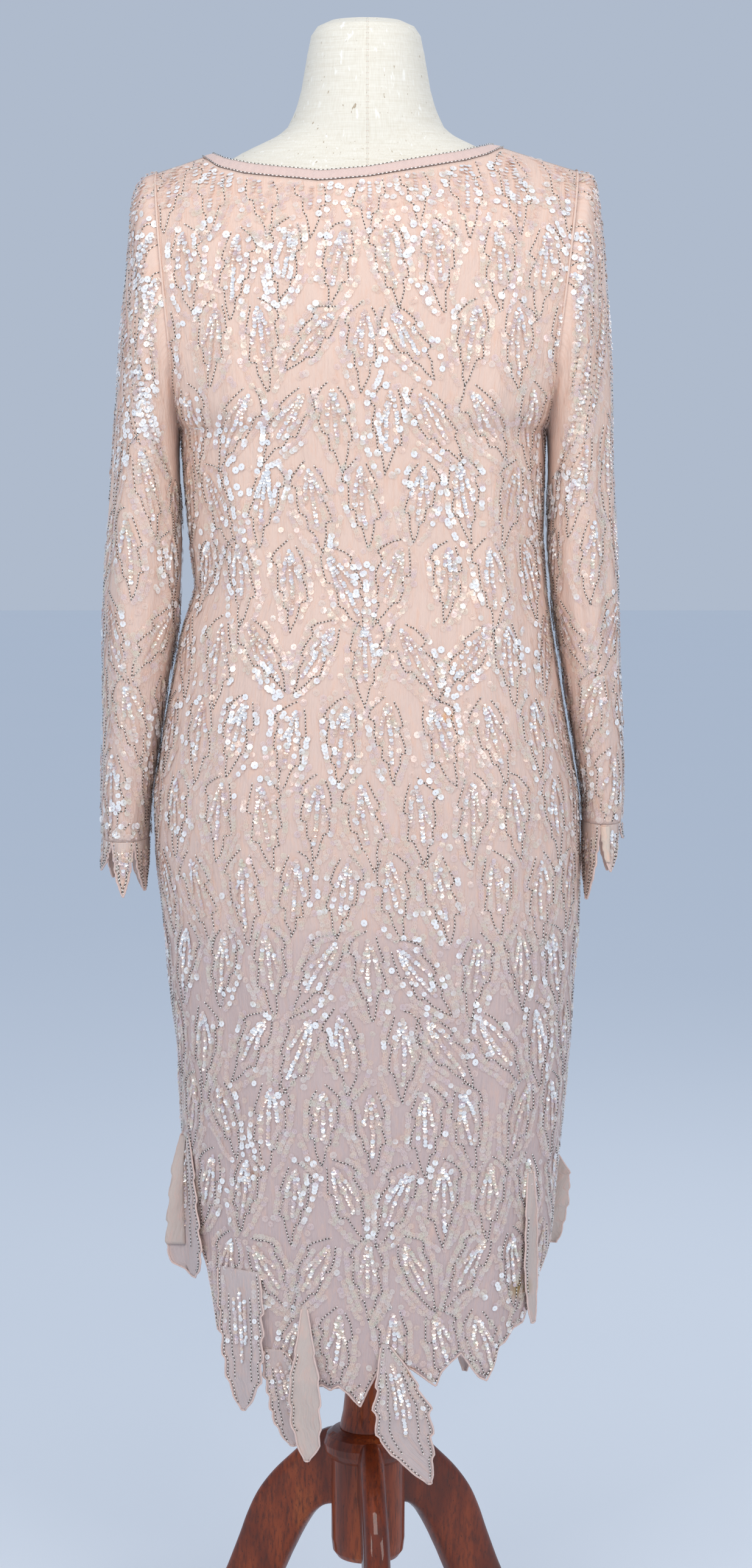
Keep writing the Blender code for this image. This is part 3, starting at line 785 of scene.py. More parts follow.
def mesh_piece(name: str, points: np.ndarray, faces: list, smooth: bool = True) -> bpy.types.Object:
    """Makes an object from points given from the post axis.

    Args:
        name: The piece's name.
        points: Points in metres from the post axis.
        faces: Lists of point numbers.
        smooth: Whether it is shaded smooth.

    Returns:
        The new object, at the origin.
    """
    mesh = bpy.data.meshes.new(name)
    mesh.from_pydata((np.asarray(points) + AXIS).tolist(), [], faces)
    mesh.polygons.foreach_set("use_smooth", np.full(len(mesh.polygons), smooth))
    mesh.validate()
    obj = bpy.data.objects.new(name, mesh)
    bpy.context.scene.collection.objects.link(obj)
    return obj


def grid_faces(rows: int, columns: int, closed: bool) -> np.ndarray:
    """Quads of a grid of points, joined round if it is closed.

    Args:
        rows: Number of rows of points.
        columns: Number of points in a row.
        closed: Whether each row joins round.

    Returns:
        Four point numbers for each quad.
    """
    spans = columns if closed else columns - 1
    r, c = np.meshgrid(np.arange(rows - 1), np.arange(spans), indexing="ij")
    d = (c + 1) % columns
    quads = [r * columns + c, r * columns + d, (r + 1) * columns + d, (r + 1) * columns + c]
    return np.stack(quads, axis=-1).reshape(-1, 4)


def grid_normals(grid: np.ndarray, closed: bool) -> np.ndarray:
    """Unit normals of a grid of points, by differences along its rows and columns.

    Args:
        grid: Rows of points.
        closed: Whether each row joins round.

    Returns:
        A unit normal for each point.
    """
    along = np.gradient(grid, axis=0)
    if closed:
        across = np.roll(grid, -1, axis=1) - np.roll(grid, 1, axis=1)
    else:
        across = np.gradient(grid, axis=1)
    normals = np.cross(across, along)
    return normals / np.maximum(np.linalg.norm(normals, axis=2, keepdims=True), 1e-12)


def shell(
    name: str, outer: np.ndarray, inner: np.ndarray, lengths: np.ndarray, closed: bool
) -> bpy.types.Object:
    """A thin cloth wall between two grids, with a UV map in metres on the cloth.

    Args:
        name: The piece's name.
        outer: Grid of points on the outside.
        inner: Grid of points on the inside.
        lengths: Grid of cloth lengths across and along, for the weave.
        closed: Whether the grid joins round.

    Returns:
        The new object.
    """
    rows, columns = outer.shape[:2]
    half = rows * columns
    quads = grid_faces(rows, columns, closed)
    parts = [quads, quads[:, ::-1] + half]
    c = np.arange(columns if closed else columns - 1)
    d = (c + 1) % columns
    last = (rows - 1) * columns
    parts.append(np.stack([d, c, c + half, d + half], axis=1))
    parts.append(np.stack([c + last, d + last, d + last + half, c + last + half], axis=1))
    if not closed:
        low = np.arange(rows - 1) * columns
        high = low + columns
        parts.append(np.stack([low, high, high + half, low + half], axis=1))
        low, high = low + columns - 1, high + columns - 1
        parts.append(np.stack([high, low, low + half, high + half], axis=1))
    faces = np.concatenate(parts)
    points = np.concatenate([outer.reshape(-1, 3), inner.reshape(-1, 3)])
    obj = mesh_piece(name, points, faces.tolist())
    uv = obj.data.uv_layers.new(name="cloth")
    flat = np.concatenate([lengths.reshape(-1, 2)] * 2)
    loops = np.empty(len(obj.data.loops), int)
    obj.data.loops.foreach_get("vertex_index", loops)
    uv.data.foreach_set("uv", flat[loops].ravel())
    fix_direction(obj)
    return obj


def fix_direction(obj: bpy.types.Object) -> None:
    """Turns a closed shell right side out if its volume reads negative.

    Args:
        obj: The shell.
    """
    mesh = obj.data
    mesh.calc_loop_triangles()
    points = np.empty(len(mesh.vertices) * 3)
    mesh.vertices.foreach_get("co", points)
    faces = np.empty(len(mesh.loop_triangles) * 3, int)
    mesh.loop_triangles.foreach_get("vertices", faces)
    corners = points.reshape(-1, 3)[faces.reshape(-1, 3)]
    if np.linalg.det(corners).sum() < 0:
        mesh.flip_normals()


def tube(name: str, path: np.ndarray, radius: float, closed: bool, around: int = 6) -> bpy.types.Object:
    """A rolled edge along a path, closed at its ends.

    Args:
        name: The piece's name.
        path: Points from the post axis.
        radius: Half its thickness.
        closed: Whether the path joins round.
        around: Number of sides.

    Returns:
        The new object.
    """
    step = np.roll(path, -1, axis=0) - np.roll(path, 1, axis=0)
    if not closed:
        step[0], step[-1] = path[1] - path[0], path[-1] - path[-2]
    step /= np.maximum(np.linalg.norm(step, axis=1, keepdims=True), 1e-12)
    side = np.cross(step, (0.0, 1.0, 0.2))
    side /= np.maximum(np.linalg.norm(side, axis=1, keepdims=True), 1e-12)
    rise = np.cross(side, step)
    angles = np.linspace(0, 2 * math.pi, around, endpoint=False)
    size = radius * (1.0 + 0.12 * np.sin(np.arange(len(path)) * 1.9))[:, None, None]
    ring = np.cos(angles)[None, :, None] * side[:, None] + np.sin(angles)[None, :, None] * rise[:, None]
    points = (path[:, None] + ring * size).reshape(-1, 3)
    if closed:
        quads = grid_faces(len(path) + 1, around, True) % (len(path) * around)
        faces = quads.tolist()
    else:
        faces = grid_faces(len(path), around, True).tolist()
        faces.append(list(range(around - 1, -1, -1)))
        faces.append([(len(path) - 1) * around + i for i in range(around)])
    obj = mesh_piece(name, points, faces)
    fix_direction(obj)
    return obj


class Trim(Enum):
    """The small things sewn to the cloth."""

    BEAD = "bead"
    CUP = "cup"
    FLAT = "flat"
    THREAD = "thread"


class TrimStock:
    """One modelled pattern of each trim, kept as arrays to copy from."""

    def __init__(self) -> None:
        """Models the four patterns, a metre across, with operators."""
        self.patterns = {
            Trim.BEAD: self.model(Trim.BEAD),
            Trim.CUP: self.model(Trim.CUP),
            Trim.FLAT: self.model(Trim.FLAT),
            Trim.THREAD: self.model(Trim.THREAD),
        }

    def model(self, trim: Trim) -> tuple:
        """Models one pattern and takes it out of the scene again.

        Args:
            trim: Which pattern.

        Returns:
            Its points and its triangles.
        """
        deselect()
        if trim is Trim.BEAD:
            # A bead is seen from above only, so its upper half is enough
            bpy.ops.mesh.primitive_cone_add(
                vertices=5,
                radius1=0.5,
                radius2=0.0,
                depth=0.5,
                end_fill_type="NOTHING",
                location=(0, 0, 0.25),
            )
            bpy.ops.object.transform_apply(location=True, rotation=False, scale=False)
        elif trim is Trim.THREAD:
            bpy.ops.mesh.primitive_circle_add(vertices=4, radius=0.5, fill_type="NGON")
        else:
            sides = 7 if trim is Trim.FLAT else 6
            bpy.ops.mesh.primitive_circle_add(vertices=sides, radius=0.5, fill_type="TRIFAN")
        obj = bpy.context.object
        bpy.ops.object.mode_set(mode="EDIT")
        bpy.ops.mesh.select_all(action="SELECT")
        bpy.ops.mesh.quads_convert_to_tris()
        bpy.ops.object.mode_set(mode="OBJECT")
        points = np.array([vertex.co[:] for vertex in obj.data.vertices])
        if trim is Trim.CUP:
            points[np.linalg.norm(points, axis=1) < 0.1, 2] = -0.17
        if trim is Trim.FLAT:
            points[np.linalg.norm(points, axis=1) < 0.1, 2] = 0.02
        faces = np.array([polygon.vertices[:] for polygon in obj.data.polygons])
        corner = points[faces]
        normal = np.cross(corner[:, 1] - corner[:, 0], corner[:, 2] - corner[:, 0])
        if trim is not Trim.BEAD and normal[:, 2].sum() < 0:
            faces = faces[:, ::-1]
        bpy.data.objects.remove(obj, do_unlink=True)
        return points, faces


@dataclass
class TrimRun:
    """Trims of one kind gathered before they are made into one piece."""

    spots: list = field(default_factory=list)
    axes: list = field(default_factory=list)
    sizes: list = field(default_factory=list)
    tints: list = field(default_factory=list)

    def add(self, spots: np.ndarray, axes: np.ndarray, sizes: np.ndarray, tints: np.ndarray) -> None:
        """Adds trims at spots, with their axes, three sizes each, and a tint from 0 to 1.

        Args:
            spots: Points in metres.
            axes: Three axes of each, as rows.
            sizes: Three sizes of each in metres.
            tints: A tint of each, from 0 to 1.
        """
        self.spots.append(spots)
        self.axes.append(axes)
        self.sizes.append(sizes)
        self.tints.append(tints)

    def build(self, name: str, pattern: tuple, smooth: bool) -> bpy.types.Object:
        """Copies the pattern to every spot as one mesh.

        Args:
            name: The piece's name.
            pattern: Points and triangles of the modelled trim.
            smooth: Whether it is shaded smooth.

        Returns:
            The new object, with the attributes tint and rim.
        """
        points, faces = pattern
        spots = np.concatenate(self.spots)
        axes = np.concatenate(self.axes)
        sizes = np.concatenate(self.sizes)
        tints = np.concatenate(self.tints)
        local = points[None] * sizes[:, None, :]
        world = np.einsum("nij,njk->nik", local, axes) + spots[:, None] + AXIS
        count = len(points)
        index = (faces[None] + np.arange(len(spots))[:, None, None] * count).reshape(-1, 3)
        mesh = bpy.data.meshes.new(name)
        mesh.vertices.add(len(spots) * count)
        mesh.vertices.foreach_set("co", world.reshape(-1).astype(np.float32))
        mesh.loops.add(index.size)
        mesh.loops.foreach_set("vertex_index", index.reshape(-1).astype(np.int32))
        mesh.polygons.add(len(index))
        mesh.polygons.foreach_set("loop_start", np.arange(0, index.size, 3, dtype=np.int32))
        mesh.update(calc_edges=True)
        mesh.polygons.foreach_set("use_smooth", np.full(len(index), smooth))
        tint = mesh.attributes.new("tint", "FLOAT", "POINT")
        tint.data.foreach_set("value", np.repeat(tints, count).astype(np.float32))
        rim = mesh.attributes.new("rim", "FLOAT", "POINT")
        away = np.minimum(np.linalg.norm(points, axis=1) * 2.0, 1.0)
        rim.data.foreach_set("value", np.tile(away, len(spots)).astype(np.float32))
        obj = bpy.data.objects.new(name, mesh)
        bpy.context.scene.collection.objects.link(obj)
        return obj


# The leaf motif in millimetres from its open top: out to the side and down
LEAF_RIGHT = (
    (2.0, -1.0),
    (9.0, -6.0),
    (15.5, -13.0),
    (18.5, -20.0),
    (13.0, -23.5),
    (14.5, -34.0),
    (14.0, -45.0),
    (8.5, -47.5),
    (8.0, -60.0),
    (3.8, -62.5),
    (2.4, -73.0),
    (0.2, -81.5),
)
LEAF_LEFT = (
    (-5.5, -6.0),
    (-9.5, -16.0),
    (-13.5, -29.0),
    (-7.5, -32.5),
    (-11.0, -43.0),
    (-13.0, -54.0),
    (-7.5, -56.0),
    (-6.0, -66.0),
    (-3.0, -75.0),
    (0.0, -81.5),
)
# The three rows of cupped sequins inside it: start, then end
LEAF_ROWS = (
    ((0.5, -9.0), (0.5, -66.0)),
    ((2.0, -12.0), (9.0, -43.0)),
    ((-1.5, -12.0), (-8.5, -40.0)),
)
# Tilts of the leaves in degrees, charted row by row from the middle outwards
TILTS = (
    (0, 4, -3, 6, 2),
    (8, -26, 5, 12, -8),
    (0, 34, -6, 4, 10),
    (-5, 6, 30, -12, 4),
    (3, -4, 8, -20, 6),
    (-24, 10, 0, 5, 14),
    (0, 28, -34, 8, -6),
    (6, -2, 14, -4, 9),
)
PITCH, ROW_STEP = 45.0, 68.0


def walk(path: tuple, step: float) -> tuple:
    """Points at even steps along a line of corners.

    Args:
        path: Corners in millimetres.
        step: Distance between points.

    Returns:
        Points, and the direction of the line at each in radians.
    """
    corners = np.array(path, float)
    spans = np.linalg.norm(np.diff(corners, axis=0), axis=1)
    run = np.concatenate([[0.0], np.cumsum(spans)])
    at = np.arange(0.3 * step, run[-1], step)
    points = np.stack([np.interp(at, run, corners[:, i]) for i in (0, 1)], axis=1)
    k = np.clip(np.searchsorted(run, at) - 1, 0, len(spans) - 1)
    heading = corners[k + 1] - corners[k]
    return points, np.arctan2(heading[:, 1], heading[:, 0])


def as_lengths(points: np.ndarray) -> tuple:
    """Reads millimetres as lengths on the surface, with no turn.

    Args:
        points: Places across and along in millimetres.

    Returns:
        Lengths across and along in metres, and turns in radians.
    """
    return points[:, 0] * MM, points[:, 1] * MM, np.zeros(len(points))


def outside_path(path: tuple, off: float) -> tuple:
    """The line that the flat sequins follow, eased and stood off a leaf's side.

    Args:
        path: Corners of a leaf's side in millimetres.
        off: How far it stands off, negative inwards.

    Returns:
        The eased corners.
    """
    corners = np.array(path, float)
    smooth = corners.copy()
    smooth[1:-1] = 0.25 * corners[:-2] + 0.5 * corners[1:-1] + 0.25 * corners[2:]
    side = 1.0 if corners[2, 0] > 0 else -1.0
    smooth[:, 0] += side * off
    smooth[-1] += (-side * off * 0.6, -2.0)
    return tuple(map(tuple, smooth))


@dataclass
class Embroidery:
    """The leaf lattice of beads and sequins on one cloth surface."""

    chart: Chart
    name: str
    stock: TrimStock
    lift: float = 0.0005
    top: Callable | None = None
    foot: Callable | None = None
    margin: float = 0.002
    runs: dict = field(default_factory=lambda: {trim: TrimRun() for trim in Trim})

    def stitch(
        self,
        trim: Trim,
        s: np.ndarray,
        v: np.ndarray,
        turn: np.ndarray,
        sizes: np.ndarray,
        tint: np.ndarray,
        tip: np.ndarray | None = None,
    ) -> None:
        """Sews trims at lengths on the surface, leaving out those off its edges.

        Args:
            trim: Which pattern.
            s: Lengths across in metres.
            v: Lengths along in metres.
            turn: Directions in radians.
            sizes: Three sizes of each in metres.
            tint: Tints from 0 to 1.
            tip: How far each leans, as two slopes, along and across its direction.
        """
        low, high = self.chart.edge(v)
        keep = (s > low + self.margin) & (s < high - self.margin)
        row = self.chart.row(v)
        side = self.chart.side(s, row)
        if self.top is not None:
            keep &= v < self.top(side) - 0.004
        if self.foot is not None:
            keep &= v > self.foot(side) + 0.003
        s, v, turn, sizes, tint = s[keep], v[keep], turn[keep], sizes[keep], tint[keep]
        if not len(s):
            return
        spots, axes = self.chart.frames(s, v, turn)
        out = axes[:, 2].copy()
        if tip is not None:
            tip = tip[keep]
            normal = out + axes[:, 0] * tip[:, :1] + axes[:, 1] * tip[:, 1:]
            normal /= np.linalg.norm(normal, axis=1, keepdims=True)
            first = axes[:, 0] - normal * np.sum(axes[:, 0] * normal, axis=1, keepdims=True)
            first /= np.linalg.norm(first, axis=1, keepdims=True)
            axes = np.stack([first, np.cross(normal, first), normal], axis=1)
        rise = {Trim.BEAD: 0.2, Trim.CUP: 1.1, Trim.FLAT: 0.8, Trim.THREAD: 1.35}[trim] * MM
        self.runs[trim].add(spots + out * (rise + self.lift), axes, sizes, tint)

    def line(self, trim: Trim, path: tuple, step: float, move: Callable, size: float) -> None:
        """Sews an even row of trims along a line of corners.

        Args:
            trim: Which pattern.
            path: Corners in millimetres in the motif.
            step: Distance between trims in millimetres.
            move: Function from motif millimetres to lengths in metres.
            size: Size of each in millimetres.
        """
        points, heading = walk(path, step)
        if len(points) == 0:
            return
        points = points + RNG.normal(0.0, 0.16 if trim is Trim.BEAD else 0.3, points.shape)
        s, v, turned = move(points)
        turn = heading + turned
        n = len(s)
        if trim is Trim.BEAD:
            silver = np.arange(n) % 2 == 0
            size = np.where(silver, 1.0, 1.06)
            sizes = np.stack([size * 1.75, size * 1.05, size * 1.9], axis=1) * MM
            tint = np.where(silver, 0.90, 0.10) + RNG.normal(0, 0.09, n)
            self.stitch(trim, s, v, turn, sizes, tint)
            return
        spread = RNG.normal(0.0, 1.0, (n, 2))
        if trim is Trim.CUP:
            tip = np.stack([-0.30 + 0.16 * spread[:, 0], 0.16 * spread[:, 1]], axis=1)
        else:
            tip = np.stack([-0.13 + 0.10 * spread[:, 0], 0.10 * spread[:, 1]], axis=1)
        across = size * RNG.uniform(0.92, 1.08, n)
        sizes = np.stack([across, across, across], axis=1) * MM
        tint = RNG.uniform(0.0, 1.0, n)
        self.stitch(trim, s, v, turn, sizes, tint, tip)
        if trim is Trim.FLAT:
            thin = np.stack([np.full(n, 3.0), np.full(n, 0.34), np.full(n, 0.34)], axis=1) * MM
            self.stitch(Trim.THREAD, s, v, turn + RNG.normal(0, 0.12, n), thin, tint, tip)

    def motif(self, s0: float, v0: float, tilt: float, size: float) -> None:
        """Sews one leaf with its inner rows and the rows round it.

        Args:
            s0: Length across of its open top, in millimetres.
            v0: Length along of its open top, in millimetres.
            tilt: Its tilt in degrees.
            size: Its size, 1 as drawn.
        """
        angle = math.radians(tilt)
        c, s = math.cos(angle), math.sin(angle)
        flip = -1.0 if RNG.random() < 0.5 else 1.0

        def move(points: np.ndarray) -> tuple:
            """Turns motif millimetres into lengths on the surface, about the leaf's middle.

            Args:
                points: Places in the motif in millimetres.

            Returns:
                Lengths across and along in metres, and turns in radians.
            """
            x, y = points[:, 0] * size * flip, (points[:, 1] + 40.0) * size
            across = s0 + x * c - y * s
            along = v0 - 40.0 * size + x * s + y * c
            turned = np.full(len(points), angle)
            return across * MM, along * MM, turned

        wobble = RNG.normal(0.0, 0.7, (len(LEAF_RIGHT), 2))
        right = tuple(map(tuple, np.array(LEAF_RIGHT) + wobble))
        left = tuple(map(tuple, np.array(LEAF_LEFT) + wobble[: len(LEAF_LEFT)]))
        for path in (right, left):
            self.line(Trim.BEAD, path, 1.6, move, 1.1)
        for row, reach in zip(LEAF_ROWS, RNG.uniform(0.8, 1.06, 3)):
            start, end = np.array(row[0]), np.array(row[1])
            end = start + (end - start) * reach
            bow = 0.5 * (start + end) + RNG.normal(0, 1.2, 2)
            self.line(Trim.CUP, (tuple(start), tuple(bow), tuple(end)), 2.9, move, 4.3)
        for path in (right, left):
            start = int(RNG.integers(0, 3))
            end = len(path) - int(RNG.integers(0, 4))
            self.line(Trim.FLAT, outside_path(path, 5.0)[start:end], 3.3, move, 5.6)
            inner = outside_path(path, -4.2)
            first = int(RNG.integers(1, 4))
            self.line(Trim.FLAT, inner[first : len(path) - 3], 3.4, move, 5.0)
            if RNG.random() < 0.7:
                self.line(Trim.FLAT, outside_path(path, 10.5)[len(path) // 2 :], 3.8, move, 5.4)

    def lattice(self, v_top: float, v_foot: float, reach: float, start: int = 0) -> int:
        """Charts the leaves over the surface.

        Args:
            v_top: Length along of the highest open top, in millimetres.
            v_foot: Length along of the lowest, in millimetres.
            reach: Greatest length across, in millimetres.
            start: Which row of the tilt chart it starts with.

        Returns:
            The number of leaves.
        """
        count, row, v0 = 0, start, v_top
        while v0 > v_foot:
            shift = 0.5 * PITCH if row % 2 else 0.0
            columns = np.arange(-math.ceil(reach / PITCH), math.ceil(reach / PITCH) + 1)
            for column in columns:
                s0 = column * PITCH + shift
                if abs(s0) > reach:
                    continue
                place = int(round(abs(s0) / PITCH))
                tilt = TILTS[row % len(TILTS)][place % 5] * (1.0 if s0 >= 0 else -1.0)
                jog = RNG.normal(0.0, 1.8, 3)
                size = 0.97 + 0.02 * jog[2]
                self.motif(s0 + jog[0], v0 + jog[1], tilt + jog[2] * 1.5, size)
                count += 1
            row += 1
            v0 -= ROW_STEP
        return count

    def scatter(self, number: int, v_low: float, v_high: float, reach: float) -> None:
        """Sews loose flat sequins here and there, each leaning its own way.

        Args:
            number: How many are tried.
            v_low: Least length along in metres.
            v_high: Greatest length along in metres.
            reach: Greatest length across in metres.
        """
        s, v = RNG.uniform(-reach, reach, number), RNG.uniform(v_low, v_high, number)
        sizes = np.repeat(RNG.uniform(5.4, 7.0, (number, 1)), 3, axis=1) * MM
        tip = RNG.normal(0.0, 0.16, (number, 2))
        turn = RNG.uniform(0, 6.28, number)
        self.stitch(Trim.FLAT, s, v, turn, sizes, RNG.uniform(0, 1, number), tip)

    def pieces(self, finishes: dict) -> list:
        """Makes one piece of each kind of trim and dresses it.

        Args:
            finishes: The finish of each trim.

        Returns:
            The pieces.
        """
        made = []
        for trim, run in self.runs.items():
            if not run.spots:
                continue
            smooth = trim is Trim.BEAD
            obj = run.build(f"{self.name}_{trim.value}s", self.stock.patterns[trim], smooth)
            obj.data.materials.append(finishes[trim])
            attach(obj, "root")
            LOG.info("%s: %d triangles", obj.name, len(obj.data.polygons))
            made.append(obj)
        return made


class Nodes:
    """A short way to lay out a material's nodes."""

    def __init__(self, name: str) -> None:
        """Starts a material with its main shader.

        Args:
            name: The material's name.
        """
        self.material = bpy.data.materials.new(name)
        self.material.use_nodes = True
        self.tree = self.material.node_tree
        self.shader = self.tree.nodes["Principled BSDF"]

    def add(self, kind: str, **values: object) -> bpy.types.Node:
        """Adds a node and sets its properties.

        Args:
            kind: The node's type.
            values: Properties by name, or input values by a name with spaces as underscores.

        Returns:
            The node.
        """
        node = self.tree.nodes.new(kind)
        for key, value in values.items():
            if hasattr(node, key):
                setattr(node, key, value)
            else:
                node.inputs[key.replace("_", " ")].default_value = value
        return node

    def link(self, start: Socket, end: Socket) -> None:
        """Joins an output to an input.

        Args:
            start: The output.
            end: The input.
        """
        self.tree.links.new(start, end)

    def set(self, **values: float) -> None:
        """Sets constant sockets of the main shader, with spaces as underscores.

        Args:
            values: Numbers by the name of the socket.
        """
        for key, value in values.items():
            self.shader.inputs[key.replace("_", " ")].default_value = value

    def noise(self, vector: Socket, scale: float, detail: float = 3.0, size: tuple = (1, 1, 1)) -> Socket:
        """A noise stretched by three sizes.

        Args:
            vector: The coordinates' socket.
            scale: Its scale.
            detail: Its detail.
            size: How much each axis is multiplied first.

        Returns:
            The factor's socket.
        """
        mapping = self.add("ShaderNodeMapping")
        mapping.inputs["Scale"].default_value = size
        self.link(vector, mapping.inputs["Vector"])
        noise = self.add("ShaderNodeTexNoise", Scale=scale, Detail=detail)
        self.link(mapping.outputs["Vector"], noise.inputs["Vector"])
        return noise.outputs["Fac"]

    def ramp(self, factor: Socket, stops: tuple) -> Socket:
        """A colour ramp.

        Args:
            factor: The factor's socket.
            stops: Pairs of place and colour.

        Returns:
            The colour's socket.
        """
        ramp = self.add("ShaderNodeValToRGB")
        elements = ramp.color_ramp.elements
        while len(elements) < len(stops):
            elements.new(0.5)
        for element, (place, colour) in zip(elements, stops):
            element.position = place
            element.color = (*colour, 1.0)
        self.link(factor, ramp.inputs["Fac"])
        return ramp.outputs["Color"]

    def mix(self, factor: Value, first: Value, second: Value) -> Socket:
        """Mixes two colours, each a socket or a fixed colour.

        Args:
            factor: A socket or a number.
            first: The first colour.
            second: The second colour.

        Returns:
            The colour's socket.
        """
        node = self.add("ShaderNodeMix", data_type="RGBA")
        sockets = (node.inputs[0], node.inputs[6], node.inputs[7])
        for socket, value in zip(sockets, (factor, first, second)):
            if isinstance(value, bpy.types.NodeSocket):
                self.link(value, socket)
            elif isinstance(value, tuple):
                socket.default_value = (*value, 1.0)
            else:
                socket.default_value = value
        return node.outputs[2]

    def math(self, kind: str, first: Value, second: Value) -> Socket:
        """One step of arithmetic on sockets or numbers.

        Args:
            kind: The operation.
            first: The first socket or number.
            second: The second one.

        Returns:
            The result's socket.
        """
        node = self.add("ShaderNodeMath", operation=kind)
        for socket, value in zip(node.inputs, (first, second)):
            if isinstance(value, bpy.types.NodeSocket):
                self.link(value, socket)
            else:
                socket.default_value = value
        return node.outputs[0]

    def span(self, value: Socket, low: float, high: float) -> Socket:
        """A value spread from 0 to 1 between two limits.

        Args:
            value: The value's socket.
            low: The value that reads 0.
            high: The value that reads 1.

        Returns:
            The result's socket.
        """
        node = self.add("ShaderNodeMapRange")
        node.inputs["From Min"].default_value = low
        node.inputs["From Max"].default_value = high
        self.link(value, node.inputs["Value"])
        return node.outputs[0]

    def bump(self, height: Socket, strength: float, distance: float) -> None:
        """Sends a height to the shader's normal.

        Args:
            height: The height's socket.
            strength: Its strength, 0 to 1.
            distance: Its depth in metres.
        """
        bump = self.add("ShaderNodeBump", Strength=strength, Distance=distance)
        self.link(height, bump.inputs["Height"])
        self.link(bump.outputs["Normal"], self.shader.inputs["Normal"])


@dataclass(frozen=True)
class Georgette:
    """Crinkled silk georgette, warm and light at the shoulders, cooler and darker at the hem: partly the
    cloth's own tone, partly painted shade for the light falling off downwards.
    """

    name: str = "blush_georgette"
    top_tone_and_light: tuple = (0.80, 0.565, 0.455)
    hem_tone_and_shade: tuple = (0.575, 0.425, 0.395)
    # Orange of the threads behind the sheer cloth; the patches and streaks mixed towards it are partly
    # these threads and partly their painted shadow
    thread: tuple = (0.80, 0.50, 0.37)
    stains: tuple = (
        ((0.075, -0.005, 0.930), 0.0040, (0.85, 0.42, 0.12)),
        ((-0.095, -0.005, 0.524), 0.0034, (0.45, 0.22, 0.12)),
        ((0.043, -0.005, 0.349), 0.0034, (0.62, 0.32, 0.14)),
        ((0.141, -0.004, 0.414), 0.0080, (0.42, 0.28, 0.13)),
    )

    def make(self) -> bpy.types.Material:
        """Lays out the finish.

        Returns:
            The material.
        """
        m = Nodes(self.name)
        place = m.add("ShaderNodeTexCoord")
        uv, obj = place.outputs["UV"], place.outputs["Object"]
        axes = m.add("ShaderNodeSeparateXYZ")
        m.link(obj, axes.inputs[0])
        # Painted shade: with height the colour runs from the lit top tone to the darker hem tone, partly
        # the cloth's own tone and partly the light falling off downwards
        height = m.span(axes.outputs["Z"], 0.45, 1.15)
        patches = m.noise(obj, 9.0, 3.0, (1, 1, 0.6))
        height = m.math("ADD", height, m.math("MULTIPLY", m.math("SUBTRACT", patches, 0.5), 0.5))
        colour = m.mix(height, self.hem_tone_and_shade, self.top_tone_and_light)
        # Painted shade: darker orange patches and streaks, partly the threads showing through and partly
        # painted shadow along them
        shadow = m.noise(uv, 160.0, 4.0, (1.0, 0.35, 1.0))
        colour = m.mix(m.span(shadow, 0.52, 0.78), colour, self.thread)
        # Painted light: fine lighter streaks, partly the weave and partly light caught on the crinkles
        weave_and_crinkle_light = m.noise(uv, 1500.0, 2.0, (1.0, 0.03, 1.0))
        colour = m.mix(m.math("MULTIPLY", weave_and_crinkle_light, 0.30), colour, (0.97, 0.83, 0.74))
        thread_and_shadow_streak = m.noise(uv, 520.0, 3.0, (1.0, 0.05, 1.0))
        colour = m.mix(m.math("MULTIPLY", m.span(thread_and_shadow_streak, 0.5, 0.85), 0.6), colour, self.thread)
        # Painted shade: below the foot of the form, about 0.74 m up, the cloth is darkened and greyed for
        # the shadowed inside of the dress seen through the sheer cloth
        below = m.span(axes.outputs["Z"], 0.755, 0.725)
        colour = m.mix(m.math("MULTIPLY", below, 0.36), colour, (0.47, 0.38, 0.40))
        flattened = m.add("ShaderNodeMapping")
        flattened.inputs["Scale"].default_value = (1.0, 0.05, 1.0)
        m.link(obj, flattened.inputs["Vector"])
        for spot, size, tone in self.stains:
            away = m.add("ShaderNodeVectorMath", operation="DISTANCE")
            m.link(flattened.outputs["Vector"], away.inputs[0])
            away.inputs[1].default_value = spot
            near = m.span(away.outputs["Value"], size * 1.7, size * 0.5)
            colour = m.mix(near, colour, tone)
        m.link(colour, m.shader.inputs["Base Color"])
        m.set(Roughness=0.82, Sheen_Weight=0.25, Sheen_Roughness=0.4)
        m.shader.inputs["Sheen Tint"].default_value = (1.0, 0.90, 0.84, 1.0)
        crinkle = m.noise(uv, 420.0, 3.0, (1.0, 0.12, 1.0))
        soft = m.noise(uv, 70.0, 3.0, (1.0, 0.4, 1.0))
        m.bump(m.math("ADD", crinkle, m.math("MULTIPLY", soft, 3.0)), 0.75, 0.0011)
        return m.material


# The greyer cloth of the loose leaves, and their plain side where they are turned back
SHEER = {"name": "hem_georgette", "top_tone_and_light": (0.72, 0.53, 0.44), "hem_tone_and_shade": (0.60, 0.49, 0.45)}
PLAIN = {"name": "plain_side", "top_tone_and_light": (0.72, 0.55, 0.44), "hem_tone_and_shade": (0.63, 0.52, 0.42)}


